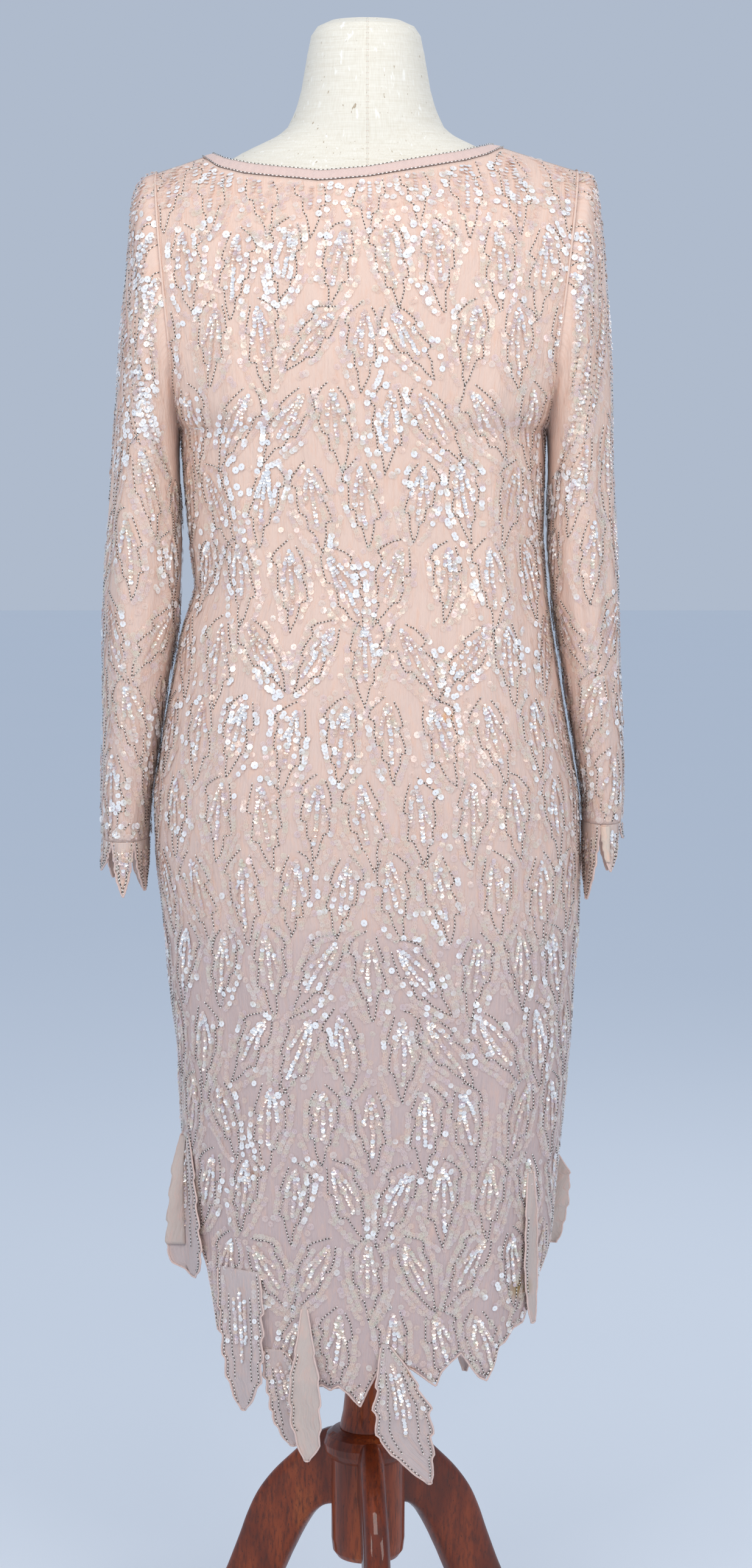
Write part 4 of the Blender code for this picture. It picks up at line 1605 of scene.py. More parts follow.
@dataclass(frozen=True)
class SequinGloss:
    """Clear iridescent sequins, by tint and by nearness to their rim, with painted white glints: some
    sequins, more of them higher up, are turned white and nearly opaque.
    """

    name: str
    low: float
    metallic: float = 0.2
    alpha: float = 0.5
    painted_glint_threshold: float = 0.98

    def make(self) -> bpy.types.Material:
        """Lays out the finish.

        Returns:
            The material.
        """
        m = Nodes(self.name)
        tint = m.add("ShaderNodeAttribute", attribute_name="tint").outputs["Fac"]
        rim = m.add("ShaderNodeAttribute", attribute_name="rim").outputs["Fac"]
        stops = (
            (0.0, (0.96, 0.74, 0.66)),
            (0.22, (0.99, 0.79, 0.63)),
            (0.42, (0.88, 0.74, 0.80)),
            (0.58, (1.0, 0.85, 0.74)),
            (0.76, (0.90, 0.87, 0.70)),
            (0.90, (1.0, 0.95, 0.89)),
        )
        colour = m.ramp(tint, stops)
        place = m.add("ShaderNodeTexCoord").outputs["Object"]
        axes = m.add("ShaderNodeSeparateXYZ")
        m.link(place, axes.inputs[0])
        # Painted glints: by tint, a patchy noise and a rise with height, a share of the sequins is turned
        # white, standing in for reflections of the lamps
        height = m.math("MULTIPLY", m.span(axes.outputs["Z"], 0.3, 1.3), 0.10)
        painted_glint = m.math("ADD", m.math("MULTIPLY", tint, 0.42), m.noise(place, 17.0, 2.0, (1, 1, 0.6)))
        painted_glint = m.span(m.math("ADD", painted_glint, height), self.painted_glint_threshold, self.painted_glint_threshold + 0.05)
        colour = m.mix(painted_glint, colour, (1.0, 1.0, 1.0))
        hole = m.span(rim, 0.22, 0.10)
        colour = m.mix(hole, colour, (0.40, 0.25, 0.22))
        m.link(colour, m.shader.inputs["Base Color"])
        m.bump(m.noise(place, 900.0, 2.0), 0.12, 0.0003)
        rough = m.noise(place, 60.0, 2.0)
        m.link(m.math("ADD", m.math("MULTIPLY", rough, 0.12), self.low), m.shader.inputs["Roughness"])
        # The painted glints are also made nearly opaque
        clear = m.math("ADD", m.math("MULTIPLY", painted_glint, 0.93 - self.alpha), self.alpha)
        m.link(clear, m.shader.inputs["Alpha"])
        m.set(Metallic=self.metallic, Specular_IOR_Level=0.6)
        m.set(Coat_Weight=0.35, Coat_Roughness=0.10)
        return m.material


@dataclass(frozen=True)
class BeadGloss:
    """Small cut beads, dark ones between silver ones."""

    name: str = "cut_bead"

    def make(self) -> bpy.types.Material:
        """Lays out the finish.

        Returns:
            The material.
        """
        m = Nodes(self.name)
        tint = m.add("ShaderNodeAttribute", attribute_name="tint").outputs["Fac"]
        stops = ((0.0, (0.075, 0.068, 0.060)), (0.35, (0.15, 0.137, 0.12)), (0.75, (0.97, 0.93, 0.86)))
        m.link(m.ramp(tint, stops), m.shader.inputs["Base Color"])
        m.set(Metallic=0.7, Roughness=0.24)
        place = m.add("ShaderNodeTexCoord").outputs["Object"]
        m.bump(m.noise(place, 1500.0, 1.0), 0.2, 0.0002)
        return m.material


@dataclass(frozen=True)
class Thread:
    """Pale sewing thread."""

    name: str = "pale_thread"
    colour: tuple = (0.93, 0.84, 0.79)

    def make(self) -> bpy.types.Material:
        """Lays out the finish.

        Returns:
            The material.
        """
        m = Nodes(self.name)
        place = m.add("ShaderNodeTexCoord").outputs["Object"]
        twist = m.noise(place, 2200.0, 2.0, (1.0, 1.0, 0.4))
        m.link(m.mix(twist, self.colour, (0.84, 0.66, 0.58)), m.shader.inputs["Base Color"])
        m.set(Roughness=0.6)
        m.bump(twist, 0.4, 0.0002)
        return m.material


@dataclass(frozen=True)
class RolledEdge:
    """The rolled and bound edges, a warmer pink with close stitches."""

    name: str = "rolled_edge"
    colour: tuple = (0.78, 0.53, 0.46)

    def make(self) -> bpy.types.Material:
        """Lays out the finish.

        Returns:
            The material.
        """
        m = Nodes(self.name)
        place = m.add("ShaderNodeTexCoord").outputs["Object"]
        stitch = m.noise(place, 650.0, 2.0)
        tone = m.noise(place, 60.0, 3.0)
        colour = m.mix(tone, self.colour, (0.66, 0.50, 0.45))
        colour = m.mix(m.math("MULTIPLY", stitch, 0.5), colour, (0.9, 0.74, 0.66))
        m.link(colour, m.shader.inputs["Base Color"])
        m.set(Roughness=0.78, Sheen_Weight=0.2)
        m.bump(stitch, 0.7, 0.0006)
        return m.material


@dataclass(frozen=True)
class Linen:
    """Natural linen stretched over the form, with slubs and pale flecks."""

    name: str = "natural_linen"

    def make(self) -> bpy.types.Material:
        """Lays out the finish.

        Returns:
            The material.
        """
        m = Nodes(self.name)
        obj = m.add("ShaderNodeTexCoord").outputs["Object"]
        warp = m.noise(obj, 900.0, 2.0, (1.0, 1.0, 0.05))
        weft = m.noise(obj, 900.0, 2.0, (0.05, 0.05, 1.0))
        cloth = m.math("ADD", warp, weft)
        tone = m.noise(obj, 14.0, 4.0)
        colour = m.mix(tone, (0.80, 0.745, 0.63), (0.74, 0.68, 0.56))
        colour = m.mix(m.span(cloth, 0.7, 1.35), colour, (0.87, 0.83, 0.73))
        flecks = m.noise(obj, 210.0, 2.0, (1.0, 1.0, 0.35))
        colour = m.mix(m.span(flecks, 0.66, 0.72), colour, (0.93, 0.90, 0.82))
        specks = m.noise(obj, 330.0, 1.0, (1.0, 1.0, 0.5))
        colour = m.mix(m.span(specks, 0.73, 0.78), colour, (0.46, 0.37, 0.26))
        m.link(colour, m.shader.inputs["Base Color"])
        m.set(Roughness=0.9, Sheen_Weight=0.15)
        m.bump(cloth, 0.35, 0.0005)
        return m.material


@dataclass(frozen=True)
class Mahogany:
    """Red-brown wood under a glossy lacquer."""

    name: str
    size: tuple = (1.0, 1.0, 0.09)

    def make(self) -> bpy.types.Material:
        """Lays out the finish.

        Returns:
            The material.
        """
        m = Nodes(self.name)
        obj = m.add("ShaderNodeTexCoord").outputs["Object"]
        broad = m.noise(obj, 34.0, 4.0, self.size)
        fine = m.noise(obj, 420.0, 3.0, self.size)
        pores = m.noise(obj, 1500.0, 1.0, self.size)
        colour = m.ramp(
            broad,
            (
                (0.28, (0.060, 0.0085, 0.0020)),
                (0.45, (0.165, 0.024, 0.0048)),
                (0.58, (0.290, 0.050, 0.0095)),
                (0.74, (0.44, 0.105, 0.021)),
            ),
        )
        colour = m.mix(m.span(fine, 0.45, 0.75), colour, (0.085, 0.016, 0.006))
        colour = m.mix(m.span(pores, 0.66, 0.74), colour, (0.03, 0.007, 0.003))
        m.link(colour, m.shader.inputs["Base Color"])
        m.set(Roughness=0.5, Specular_IOR_Level=0.2, Coat_Weight=0.5, Coat_Roughness=0.04)
        m.bump(fine, 0.12, 0.0004)
        return m.material


@dataclass
class DressCloth:
    """The body panels, the sleeves, the neck band and the loose leaves, with all their trims."""

    columns: int = 78
    lower_rows: int = 144
    upper_rows: int = 44
    stock: TrimStock = field(default_factory=TrimStock)
    cloth: bpy.types.Material = field(default_factory=lambda: Georgette().make())
    sheer: bpy.types.Material = field(default_factory=lambda: Georgette(**SHEER).make())
    plain: bpy.types.Material = field(default_factory=lambda: Georgette(**PLAIN).make())
    edge: bpy.types.Material = field(default_factory=lambda: RolledEdge().make())

    def __post_init__(self) -> None:
        """Makes the finishes of the trims."""
        self.finishes = {
            Trim.BEAD: BeadGloss().make(),
            # The last number sets where the painted white glints start; lower gives more of them
            Trim.CUP: SequinGloss("cupped_sequin", 0.10, 0.40, 0.68, 0.82).make(),
            Trim.FLAT: SequinGloss("flat_sequin", 0.07, 0.08, 0.34, 0.94).make(),
            Trim.THREAD: Thread().make(),
        }

    def settle(
        self, obj: bpy.types.Object, material: bpy.types.Material, slot: str = "dress_cloth"
    ) -> None:
        """Gives a piece its finish and its body.

        Args:
            obj: The piece.
            material: Its finish.
            slot: Not used.
        """
        obj.data.materials.append(material)
        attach(obj, "root")

    def panel(self, name: str, form: BodyForm, cut: PanelCut) -> None:
        """Makes a body panel as a thin shell, embroiders it and edges its hem and sides.

        Args:
            name: The solid that it stands for.
            form: Its surface.
            cut: Its neck and hem.
        """
        angles = np.linspace(-math.pi / 2, math.pi / 2, self.columns)
        across = np.sign(angles) * np.abs(np.sin(angles)) ** (2.0 / SECTION_POWER)
        across[0], across[-1] = -1.0, 1.0
        corners = [neck_across(np.array(float(cut.neck[i][0]))) for i in (0, -1)]
        for corner in corners:
            across[np.argmin(np.abs(across - corner))] = corner
        top, foot = cut.top(across), cut.foot(across)
        low = np.linspace(0.0, 1.0, self.lower_rows)[:, None] ** 0.97
        lower = foot[None] * (1 - low) + ARMPIT_Z * low
        t = np.linspace(0.0, 1.0, self.upper_rows)[1:, None]
        t = 0.5 * np.sin(0.5 * math.pi * t) ** 0.85 + 0.5 * t
        upper = ARMPIT_Z * (1 - t) + top[None] * t
        heights = np.concatenate([lower, upper])
        grid = form.points(np.broadcast_to(across, heights.shape), heights)
        side = -1.0 if form.back else 1.0
        normals = grid_normals(grid, False)
        normals *= np.sign(np.sum(normals[:, self.columns // 2, 1]) * side)
        for edge, outward in ((0, -1.0), (self.columns - 1, 1.0)):
            normals[: self.lower_rows, edge] = (outward, 0.0, 0.0)
            normals[self.lower_rows :, edge, 0] = 0.0
        x = neck_x(across)
        shoulder = (x <= cut.neck[0][0] + 0.5) | (x >= cut.neck[-1][0] - 0.5)
        normals[-1, shoulder] = (0.0, 0.0, 1.0)
        normals /= np.maximum(np.linalg.norm(normals, axis=2, keepdims=True), 1e-9)
        inner = grid - normals * CLOTH_THICK
        seam = 0.00015
        inner[..., 1] = np.minimum(inner[..., 1], -seam) if form.back else np.maximum(inner[..., 1], seam)
        run = np.cumsum(np.linalg.norm(np.diff(grid[60, :, :2], axis=0), axis=1))
        lengths = np.stack([np.broadcast_to(np.append(0.0, run), heights.shape), heights], axis=-1)
        obj = shell(name + "_cloth", grid, inner, lengths, False)
        self.settle(obj, self.cloth)
        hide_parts(name)

        chart = body_chart(form)
        work = Embroidery(chart, name, self.stock, top=cut.top, foot=cut.foot)
        leaves = work.lattice(1494.0, 330.0, 250.0, 7 if form.back else 2)
        work.scatter(2400, 0.33, 1.42, 0.24)
        work.scatter(420, 1.33, 1.44, 0.21)
        self.hem_beads(work, cut)
        work.pieces(self.finishes)
        LOG.info("%s: %d leaves charted", name, leaves)
        fine = np.linspace(-0.998, 0.998, 420)
        path = form.points(fine, cut.foot(fine))
        roll = tube(name + "_hem_edge", path, 0.0009, False)
        self.settle(roll, self.edge, "bound_edge")
        for side, edge in (("left", 0), ("right", -1)):
            path = grid[:, edge] + (0.0, -SEAM_OFF if form.back else SEAM_OFF, 0.5 * SEAM_OFF)
            seam = tube(f"{name}_seam_{side}", path, SEAM_RADIUS, False)
            self.settle(seam, self.cloth)

    def hem_beads(self, work: Embroidery, cut: PanelCut) -> None:
        """Sews the bead row just inside the hem edge.

        Args:
            work: The panel's embroidery.
            cut: Its cut.
        """
        fine = np.linspace(-0.99, 0.99, 900)
        foot = cut.foot(fine)
        chart = work.chart
        places = (chart.row(foot) - chart.rows[0]) / (chart.rows[1] - chart.rows[0])
        reach = np.array(
            [np.interp(a, chart.inverse[int(i)], chart.grid) for a, i in zip(fine, places)]
        )
        path = np.stack([reach, foot + 0.0045], axis=1) / MM
        work.line(Trim.BEAD, tuple(map(tuple, path)), 1.7, as_lengths, 1.1)

    def sleeve(self, name: str, form: SleeveForm, turn: float) -> None:
        """Makes a sleeve as a thin tube and embroiders it.

        Args:
            name: The solid that it stands for.
            form: Its surface.
            turn: The sign that makes its normals point outwards.
        """
        last = len(form.rows) - 1.0
        angle = np.linspace(0, 2 * math.pi, 72, endpoint=False)
        places = np.linspace(0.0, last, 96)
        a, p = np.meshgrid(angle, places)
        grid = form.points(a, p)
        normals = grid_normals(grid, True)
        middle = grid.mean(axis=1, keepdims=True)
        normals *= np.sign(np.sum(normals * (grid - middle)))
        inner = grid - normals * CLOTH_THICK
        chart = sleeve_chart(form, turn)
        along = np.interp(p, chart.rows, chart.lengths)
        lengths = np.stack([a * 0.046, along], axis=-1)
        obj = shell(name + "_cloth", grid, inner, lengths, True)
        self.settle(obj, self.cloth)
        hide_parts(name)
        work = Embroidery(chart, name, self.stock, margin=0.001)
        end = float(np.interp(last, chart.rows, chart.lengths))
        work.foot = lambda side: np.full_like(side, chart.lengths[0] + end)
        leaves = work.lattice(10.0, -560.0, 150.0, 2)
        work.scatter(900, -0.56, 0.0, 0.15)
        work.scatter(150, end + 0.0035, end + 0.014, 0.15)
        work.pieces(self.finishes)
        LOG.info("%s: %d leaves charted", name, leaves)


class Turn(Enum):
    """How much of a loose leaf is turned back, so that its plain side shows."""

    NONE = "none"
    OUTER = "outer"
    ALL = "all"


@dataclass(frozen=True)
class CuffLeaf:
    """A leaf that a cuff ends in, hanging on from the sleeve end."""

    rows: tuple
    start: float
    end: float
    tip_height: float
    tip_place: float
    widths: tuple = (1.0, 0.97, 0.84, 0.70, 0.42, 0.05)

    def span(self) -> float:
        """Its length from top to tip.

        Returns:
            The length in metres.
        """
        return (self.rows[-1][1] - self.tip_height) * MM

    def points(self, u: np.ndarray, t: np.ndarray) -> np.ndarray:
        """Points on its outside.

        Args:
            u: Places across, -1 to 1.
            t: Places down, 0 to 1.

        Returns:
            Points in metres from the post, in the last axis.
        """
        last, before = np.array(self.rows[-1], float), np.array(self.rows[-2], float)
        top = self.rows[-1][1] - 0.3
        z = top + (self.tip_height - top) * t
        slope = (last - before) / (before[1] - last[1]) * 0.5
        low, high = math.radians(self.start), math.radians(self.end)
        tip = low + (high - low) * self.tip_place
        width = np.interp(t, np.linspace(0, 1, 6), self.widths) * step_cut(t, 5)
        angle = tip + width * np.where(u < 0, (tip - low) * u, (high - tip) * u)
        drop = self.rows[-1][1] - z
        inner, outer = last[0] + slope[0] * drop, last[2] + slope[2] * drop
        curl = (2.0 * t * t + 0.6 * np.sin(t * 9.0 + u * 2.0) * t) + CLOTH_LIFT / MM
        reach = 0.5 * (inner - outer)
        x = 0.5 * (inner + outer) + np.cos(angle) * (reach + np.sign(reach) * curl)
        y = last[5] + slope[5] * drop - np.sin(angle) * (last[4] + curl)
        return np.stack([x, y, z], axis=-1) * MM


@dataclass(frozen=True)
class HemLeaf:
    """A loose leaf of the hem, a little way off the dress."""

    rows: tuple
    form: BodyForm

    def span(self) -> float:
        """Its length from top to tip.

        Returns:
            The length in metres.
        """
        return (self.rows[0][0] - self.rows[-1][0]) * MM

    def points(self, u: np.ndarray, t: np.ndarray) -> np.ndarray:
        """Points on its outside.

        Args:
            u: Places across, -1 to 1.
            t: Places down, 0 to 1.

        Returns:
            Points in metres from the post, in the last axis.
        """
        table = np.array(self.rows, float)[::-1]
        z = table[-1, 0] + (table[0, 0] - table[-1, 0]) * t
        left, right, off, lift = (np.interp(z, table[:, 0], table[:, i]) for i in (1, 2, 3, 4))
        cut = step_cut(t, 6)
        x = 0.5 * (left + right) + 0.5 * (right - left) * u * cut
        height = z * MM
        edge_left, edge_right = DRESS.read(height, 0) / MM, DRESS.read(height, 1) / MM
        across = (x - 0.5 * (edge_left + edge_right)) / (0.5 * (edge_right - edge_left))
        y = self.form.points(np.clip(across, -0.985, 0.985), height)[..., 1] / MM
        side = -1.0 if self.form.back else 1.0
        ripple = 0.9 * np.sin(t * 8.0 + u * 2.4) * np.minimum(t * 4.0, 1.0)
        out = off + lift * u * u + 1.4 + ripple * np.minimum(off / 3.0, 1.0)
        return np.stack([x, y + side * out, z], axis=-1) * MM


def step_cut(t: np.ndarray, steps: int) -> np.ndarray:
    """The stepped cut of a leaf's sides: how wide it is at each place down, by its full width.

    Args:
        t: Places down, 0 to 1.
        steps: Number of steps on each side.

    Returns:
        Shares of the full width.
    """
    phase = np.mod(t * steps + 0.15, 1.0)
    saw = smooth_step(phase, 0.0, 0.82) - smooth_step(phase, 0.86, 1.0)
    return 1.0 - 0.13 * (1.0 - saw) * smooth_step(t, 0.12, 0.3)


@dataclass
class LooseLeaves:
    """Makes the loose leaves of cuffs and hem, each edged, beaded or turned back."""

    dress: DressCloth

    def build(
        self, name: str, leaf: CuffLeaf | HemLeaf, turn: float, turned: Turn, rests_on: str
    ) -> None:
        """Makes one leaf.

        Args:
            name: The solid that it stands for.
            leaf: Its surface.
            turn: The sign that makes its normals point outwards.
            turned: How much of it is turned back.
            rests_on: The piece that it hangs from; not used.
        """
        span = leaf.span()
        u, t = np.meshgrid(np.linspace(-1, 1, 11), np.linspace(0, 1, 46))
        grid = leaf.points(u, t)
        rows = np.linspace(0, 1, 46)
        chart = Chart(leaf.points, np.linspace(-1, 1, 41), rows, -rows * span, turn)
        self.sheet(name + "_cloth", grid, turn, turned is Turn.ALL, name)
        path = np.concatenate([grid[1:, 0], grid[-1, 1:-1], grid[:0:-1, -1]])
        roll = tube(name + "_edge", path, 0.00085, False)
        self.dress.settle(roll, self.dress.edge, "bound_edge")
        work = Embroidery(chart, name, self.dress.stock, margin=0.0012)
        self.trims(work, chart, span, turned)
        work.pieces(self.dress.finishes)
        if turned is Turn.OUTER:
            u, t = np.meshgrid(np.linspace(-1, 0.05, 7), np.linspace(0.03, 0.80, 36))
            back = leaf.points(u * (1.0 - 0.12 * np.sin(t * 7.0) * (u > -0.5)), t)
            back[..., 0] -= 0.0006
            back[..., 1] += (-0.0022 if turn > 0 else 0.0022) * (1.0 - 0.4 * u * u)
            self.sheet(name + "_turned", back, turn, True, None)

    def sheet(
        self,
        name: str,
        grid: np.ndarray,
        turn: float,
        plain: bool,
        node: str | None,
    ) -> None:
        """Makes a leaf's cloth as a thin shell.

        Args:
            name: The piece's name.
            grid: Points of its outside.
            turn: The sign that makes its normals point outwards.
            plain: Whether its plain side shows.
            node: The solid that it stands for, if it stands for one.
        """
        normals = np.cross(np.gradient(grid, axis=1), -np.gradient(grid, axis=0)) * turn
        normals /= np.maximum(np.linalg.norm(normals, axis=2, keepdims=True), 1e-12)
        steps = np.linalg.norm(np.diff(grid, axis=1), axis=2)
        run = np.concatenate([np.zeros((len(grid), 1)), np.cumsum(steps, axis=1)], axis=1)
        lengths = np.stack([run, grid[..., 2]], axis=-1)
        obj = shell(name, grid, grid - normals * 0.0005, lengths, False)
        self.dress.settle(obj, self.dress.plain if plain else self.dress.sheer)
        if node:
            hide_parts(node)

    def trims(self, work: Embroidery, chart: Chart, span: float, turned: Turn) -> None:
        """Sews a leaf's bead rows and sequins.

        Args:
            work: Its embroidery.
            chart: Its chart.
            span: Its length in metres.
            turned: How much of it is turned back.
        """
        t = np.linspace(0.02, 0.95, 40)
        low, high = chart.edge(-t * span)

        def rows(share: float, start: int, end: int, side: int, inset: float = 0.0) -> tuple:
            """A line down the leaf at a share of its half width.

            Args:
                share: The share.
                start: The first place down that it takes.
                end: The place that it stops before.
                side: -1 for the left side, 1 for the right.
                inset: How far inside that line it runs, in millimetres.

            Returns:
                Corners in millimetres.
            """
            edge = (high if side > 0 else low) / MM
            x = edge * share - side * inset
            return tuple(zip(x[start:end], -t[start:end] * span / MM))

        sides = (1,) if turned is Turn.OUTER else (-1, 1)
        if turned is Turn.ALL:
            work.line(Trim.BEAD, rows(1.0, 12, 34, -1, 2.4), 1.7, as_lengths, 1.1)
            return
        for side in sides:
            work.line(Trim.BEAD, rows(1.0, 0, 40, side, 2.6), 1.65, as_lengths, 1.1)
            work.line(Trim.BEAD, rows(0.5, 7, 33, side), 1.65, as_lengths, 1.1)
            work.line(Trim.FLAT, rows(0.72, 2, 22, side), 3.8, as_lengths, 5.2)
            work.line(Trim.CUP, rows(0.24, 8, 22, side), 2.9, as_lengths, 4.2)
        work.line(Trim.CUP, rows(0.02, 5, 28, 1), 2.9, as_lengths, 4.2)


@dataclass
class NeckBand:
    """The narrow bound neck edge with a bead row along each side."""

    dress: DressCloth
    steps: int = 170

    def edges(self, form: BodyForm, neck: tuple) -> tuple:
        """The seam line and the free line of the band on one side.

        Args:
            form: The panel's surface.
            neck: The panel's neck table.

        Returns:
            Two arrays of points, left to right.
        """
        table = np.array(neck, float)
        x = np.linspace(table[0, 0], table[-1, 0], self.steps)
        window = np.hanning(13) / np.hanning(13).sum()

        def soft(column: int) -> np.ndarray:
            """A column read at every x with its corners eased.

            Args:
                column: The column's number.

            Returns:
                The eased values.
            """
            line = np.interp(x, table[:, 0], table[:, column])
            ends = np.concatenate([2 * line[0] - line[6:0:-1], line, 2 * line[-1] - line[-2:-8:-1]])
            return np.convolve(ends, window, mode="valid")

        low = form.points(neck_across(x), (soft(1) + 0.9) * MM)
        high = form.points(neck_across(soft(2)), soft(3) * MM)
        return low, high

    def build(self) -> None:
        """Makes the band and its bead rows."""
        back_low, back_high = self.edges(BACK_FORM, BACK_NECK)
        front_low, front_high = self.edges(FRONT_FORM, FRONT_NECK)
        for low, high in ((back_low, back_high), (front_low, front_high)):
            low[[0, -1], 1] = high[[0, -1], 1] = 0.0
        low = np.concatenate([back_low, front_low[-2:0:-1]])
        high = np.concatenate([back_high, front_high[-2:0:-1]])
        share = np.linspace(0, 1, 6)
        grid = low[None] * (1 - share[:, None, None]) + high[None] * share[:, None, None]
        normals = grid_normals(grid, True)
        normals *= np.sign(normals[..., 2].mean())
        puff = 0.0006 * np.sin(math.pi * share)[:, None, None]
        ripple = 0.0002 * np.sin(np.arange(len(low)) * 1.3)[None, :, None]
        grid = grid + normals * (puff + ripple)
        run = np.cumsum(np.linalg.norm(np.diff(low, axis=0), axis=1))
        lengths = np.stack(np.broadcast_arrays(np.append(0.0, run)[None], share[:, None] * 0.01), axis=-1)
        obj = shell("neck_band_cloth", grid, grid - normals * 0.0011, lengths, True)
        self.dress.settle(obj, self.dress.edge, "bound_edge")
        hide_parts("neck_band")
        beads = TrimRun()
        for row in (0, -1):
            self.row(beads, grid[row], normals[row])
        piece = beads.build("neck_band_beads", self.dress.stock.patterns[Trim.BEAD], True)
        self.dress.settle(piece, self.dress.finishes[Trim.BEAD], "bound_edge")

    def row(self, beads: TrimRun, line: np.ndarray, normals: np.ndarray) -> None:
        """Sews one row of beads along a line.

        Args:
            beads: Where the beads are gathered.
            line: Points of the line, joined round.
            normals: Outward directions at them.
        """
        ring = np.concatenate([line, line[:1]])
        outs = np.concatenate([normals, normals[:1]])
        run = np.append(0.0, np.cumsum(np.linalg.norm(np.diff(ring, axis=0), axis=1)))
        at = np.arange(0.0, run[-1], 1.9 * MM)
        spots = np.stack([np.interp(at, run, ring[:, i]) for i in range(3)], axis=1)
        out = np.stack([np.interp(at, run, outs[:, i]) for i in range(3)], axis=1)
        out /= np.linalg.norm(out, axis=1, keepdims=True)
        step = np.roll(spots, -1, axis=0) - np.roll(spots, 1, axis=0)
        step -= out * np.sum(step * out, axis=1, keepdims=True)
        step /= np.linalg.norm(step, axis=1, keepdims=True)
        axes = np.stack([step, np.cross(out, step), out], axis=1)
        n = len(spots)
        sizes = np.tile((1.7, 1.1, 1.5), (n, 1)) * MM
        beads.add(spots + out * 0.0006, axes, sizes, np.where(np.arange(n) % 2, 0.3, 0.95))


@dataclass
class DressForm:
    """The linen torso and neck with its centre seam."""

    rows: tuple = (
        (738, 164, 104, 94),
        (745, 170, 110, 100),
        (806, 173, 113, 104),
        (854, 170, 111, 104),
        (925, 158, 104, 103),
        (1000, 136, 91, 95),
        (1038, 128, 84, 90),
        (1076, 129, 81, 90),
        (1130, 143, 86, 102),
        (1180, 152, 92, 113),
        (1240, 157, 97, 112),
        (1300, 160, 97, 97),
        (1350, 160, 92, 80),
        (1380, 155, 85, 70),
        (1398, 143, 76, 62),
        (1412, 126, 65, 57),
        (1421, 110, 60, 56),
        (1428, 96, 58, 56),
        (1436, 78, 57, 56),
        (1444, 69, 57, 56),
        (1460, 61.4, 55, 54),
        (1476, 57.3, 53, 51),
        (1507, 51.5, 49, 47),
        (1523, 48.5, 46, 45),
        (1531, 43, 41, 40),
        (1536, 32, 31, 30),
        (1538, 14, 14, 13),
    )
    centre: float = -0.0015
    around: int = 96

    def build(self, linen: bpy.types.Material, thread: bpy.types.Material) -> None:
        """Makes the torso and its back seam.

        Args:
            linen: The cover's finish.
            thread: The stitches' finish.
        """
        table = np.array(self.rows, float)
        fine = np.concatenate([np.linspace(a, b, 6)[:-1] for a, b in zip(table[:-1, 0], table[1:, 0])])
        fine = np.append(fine, table[-1, 0])
        angles = np.linspace(0, 2 * math.pi, self.around, endpoint=False)
        sizes = [np.interp(fine, table[:, 0], column) for column in table[:, 1:].T]
        half, back, front = (self.ease(fine, size) for size in sizes)
        x = self.centre + np.cos(angles)[None] * half[:, None] * MM
        y = np.where(np.sin(angles) < 0, back[:, None], front[:, None]) * np.sin(angles)[None] * MM
        z = np.broadcast_to((fine * MM)[:, None], x.shape)
        rings = np.stack([x, y, z], axis=-1)
        rows = len(fine)
        faces = grid_faces(rows, self.around, True).tolist()
        faces.append(list(range(self.around - 1, -1, -1)))
        faces.append([(rows - 1) * self.around + i for i in range(self.around)])
        torso = mesh_piece("linen_torso", rings.reshape(-1, 3), faces)
        fix_direction(torso)
        torso.data.materials.append(linen)
        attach(torso, "root")
        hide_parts("form_torso")
        heights = np.arange(1404.0, 1536.0, 1.0)
        depth = np.interp(heights, fine, back) * MM
        path = np.stack([np.full(len(heights), 0.0), -depth, heights * MM], axis=1)
        ridge = tube("form_back_seam", path + (0.0, 0.0002, 0.0), 0.0008, False)
        self.dress(ridge, linen)
        run = TrimRun()
        spots = path[2:-2:5] + (0.0, -0.0005, 0.0)
        axes = np.broadcast_to(np.array(((1, 0, 0), (0, 0, 1), (0, -1, 0)), float), (len(spots), 3, 3))
        lengths = np.tile((3.4, 0.5, 0.5), (len(spots), 1)) * MM
        run.add(spots, axes, lengths, np.zeros(len(spots)))
        obj = run.build("form_seam_stitches", TrimStock().patterns[Trim.BEAD], True)
        self.dress(obj, thread)

    def ease(self, heights: np.ndarray, sizes: np.ndarray) -> np.ndarray:
        """Rounds the corners of a profile below the closing cap.

        Args:
            heights: Heights in millimetres.
            sizes: The profile at each height.

        Returns:
            The eased profile.
        """
        window = np.hanning(9)
        soft = np.convolve(np.pad(sizes, 4, mode="edge"), window / window.sum(), mode="valid")
        return np.where(heights > 1522, sizes, soft)

    def dress(self, obj: bpy.types.Object, material: bpy.types.Material) -> None:
        """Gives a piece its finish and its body.

        Args:
            obj: The piece.
            material: Its finish.
        """
        obj.data.materials.append(material)
        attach(obj, "root")


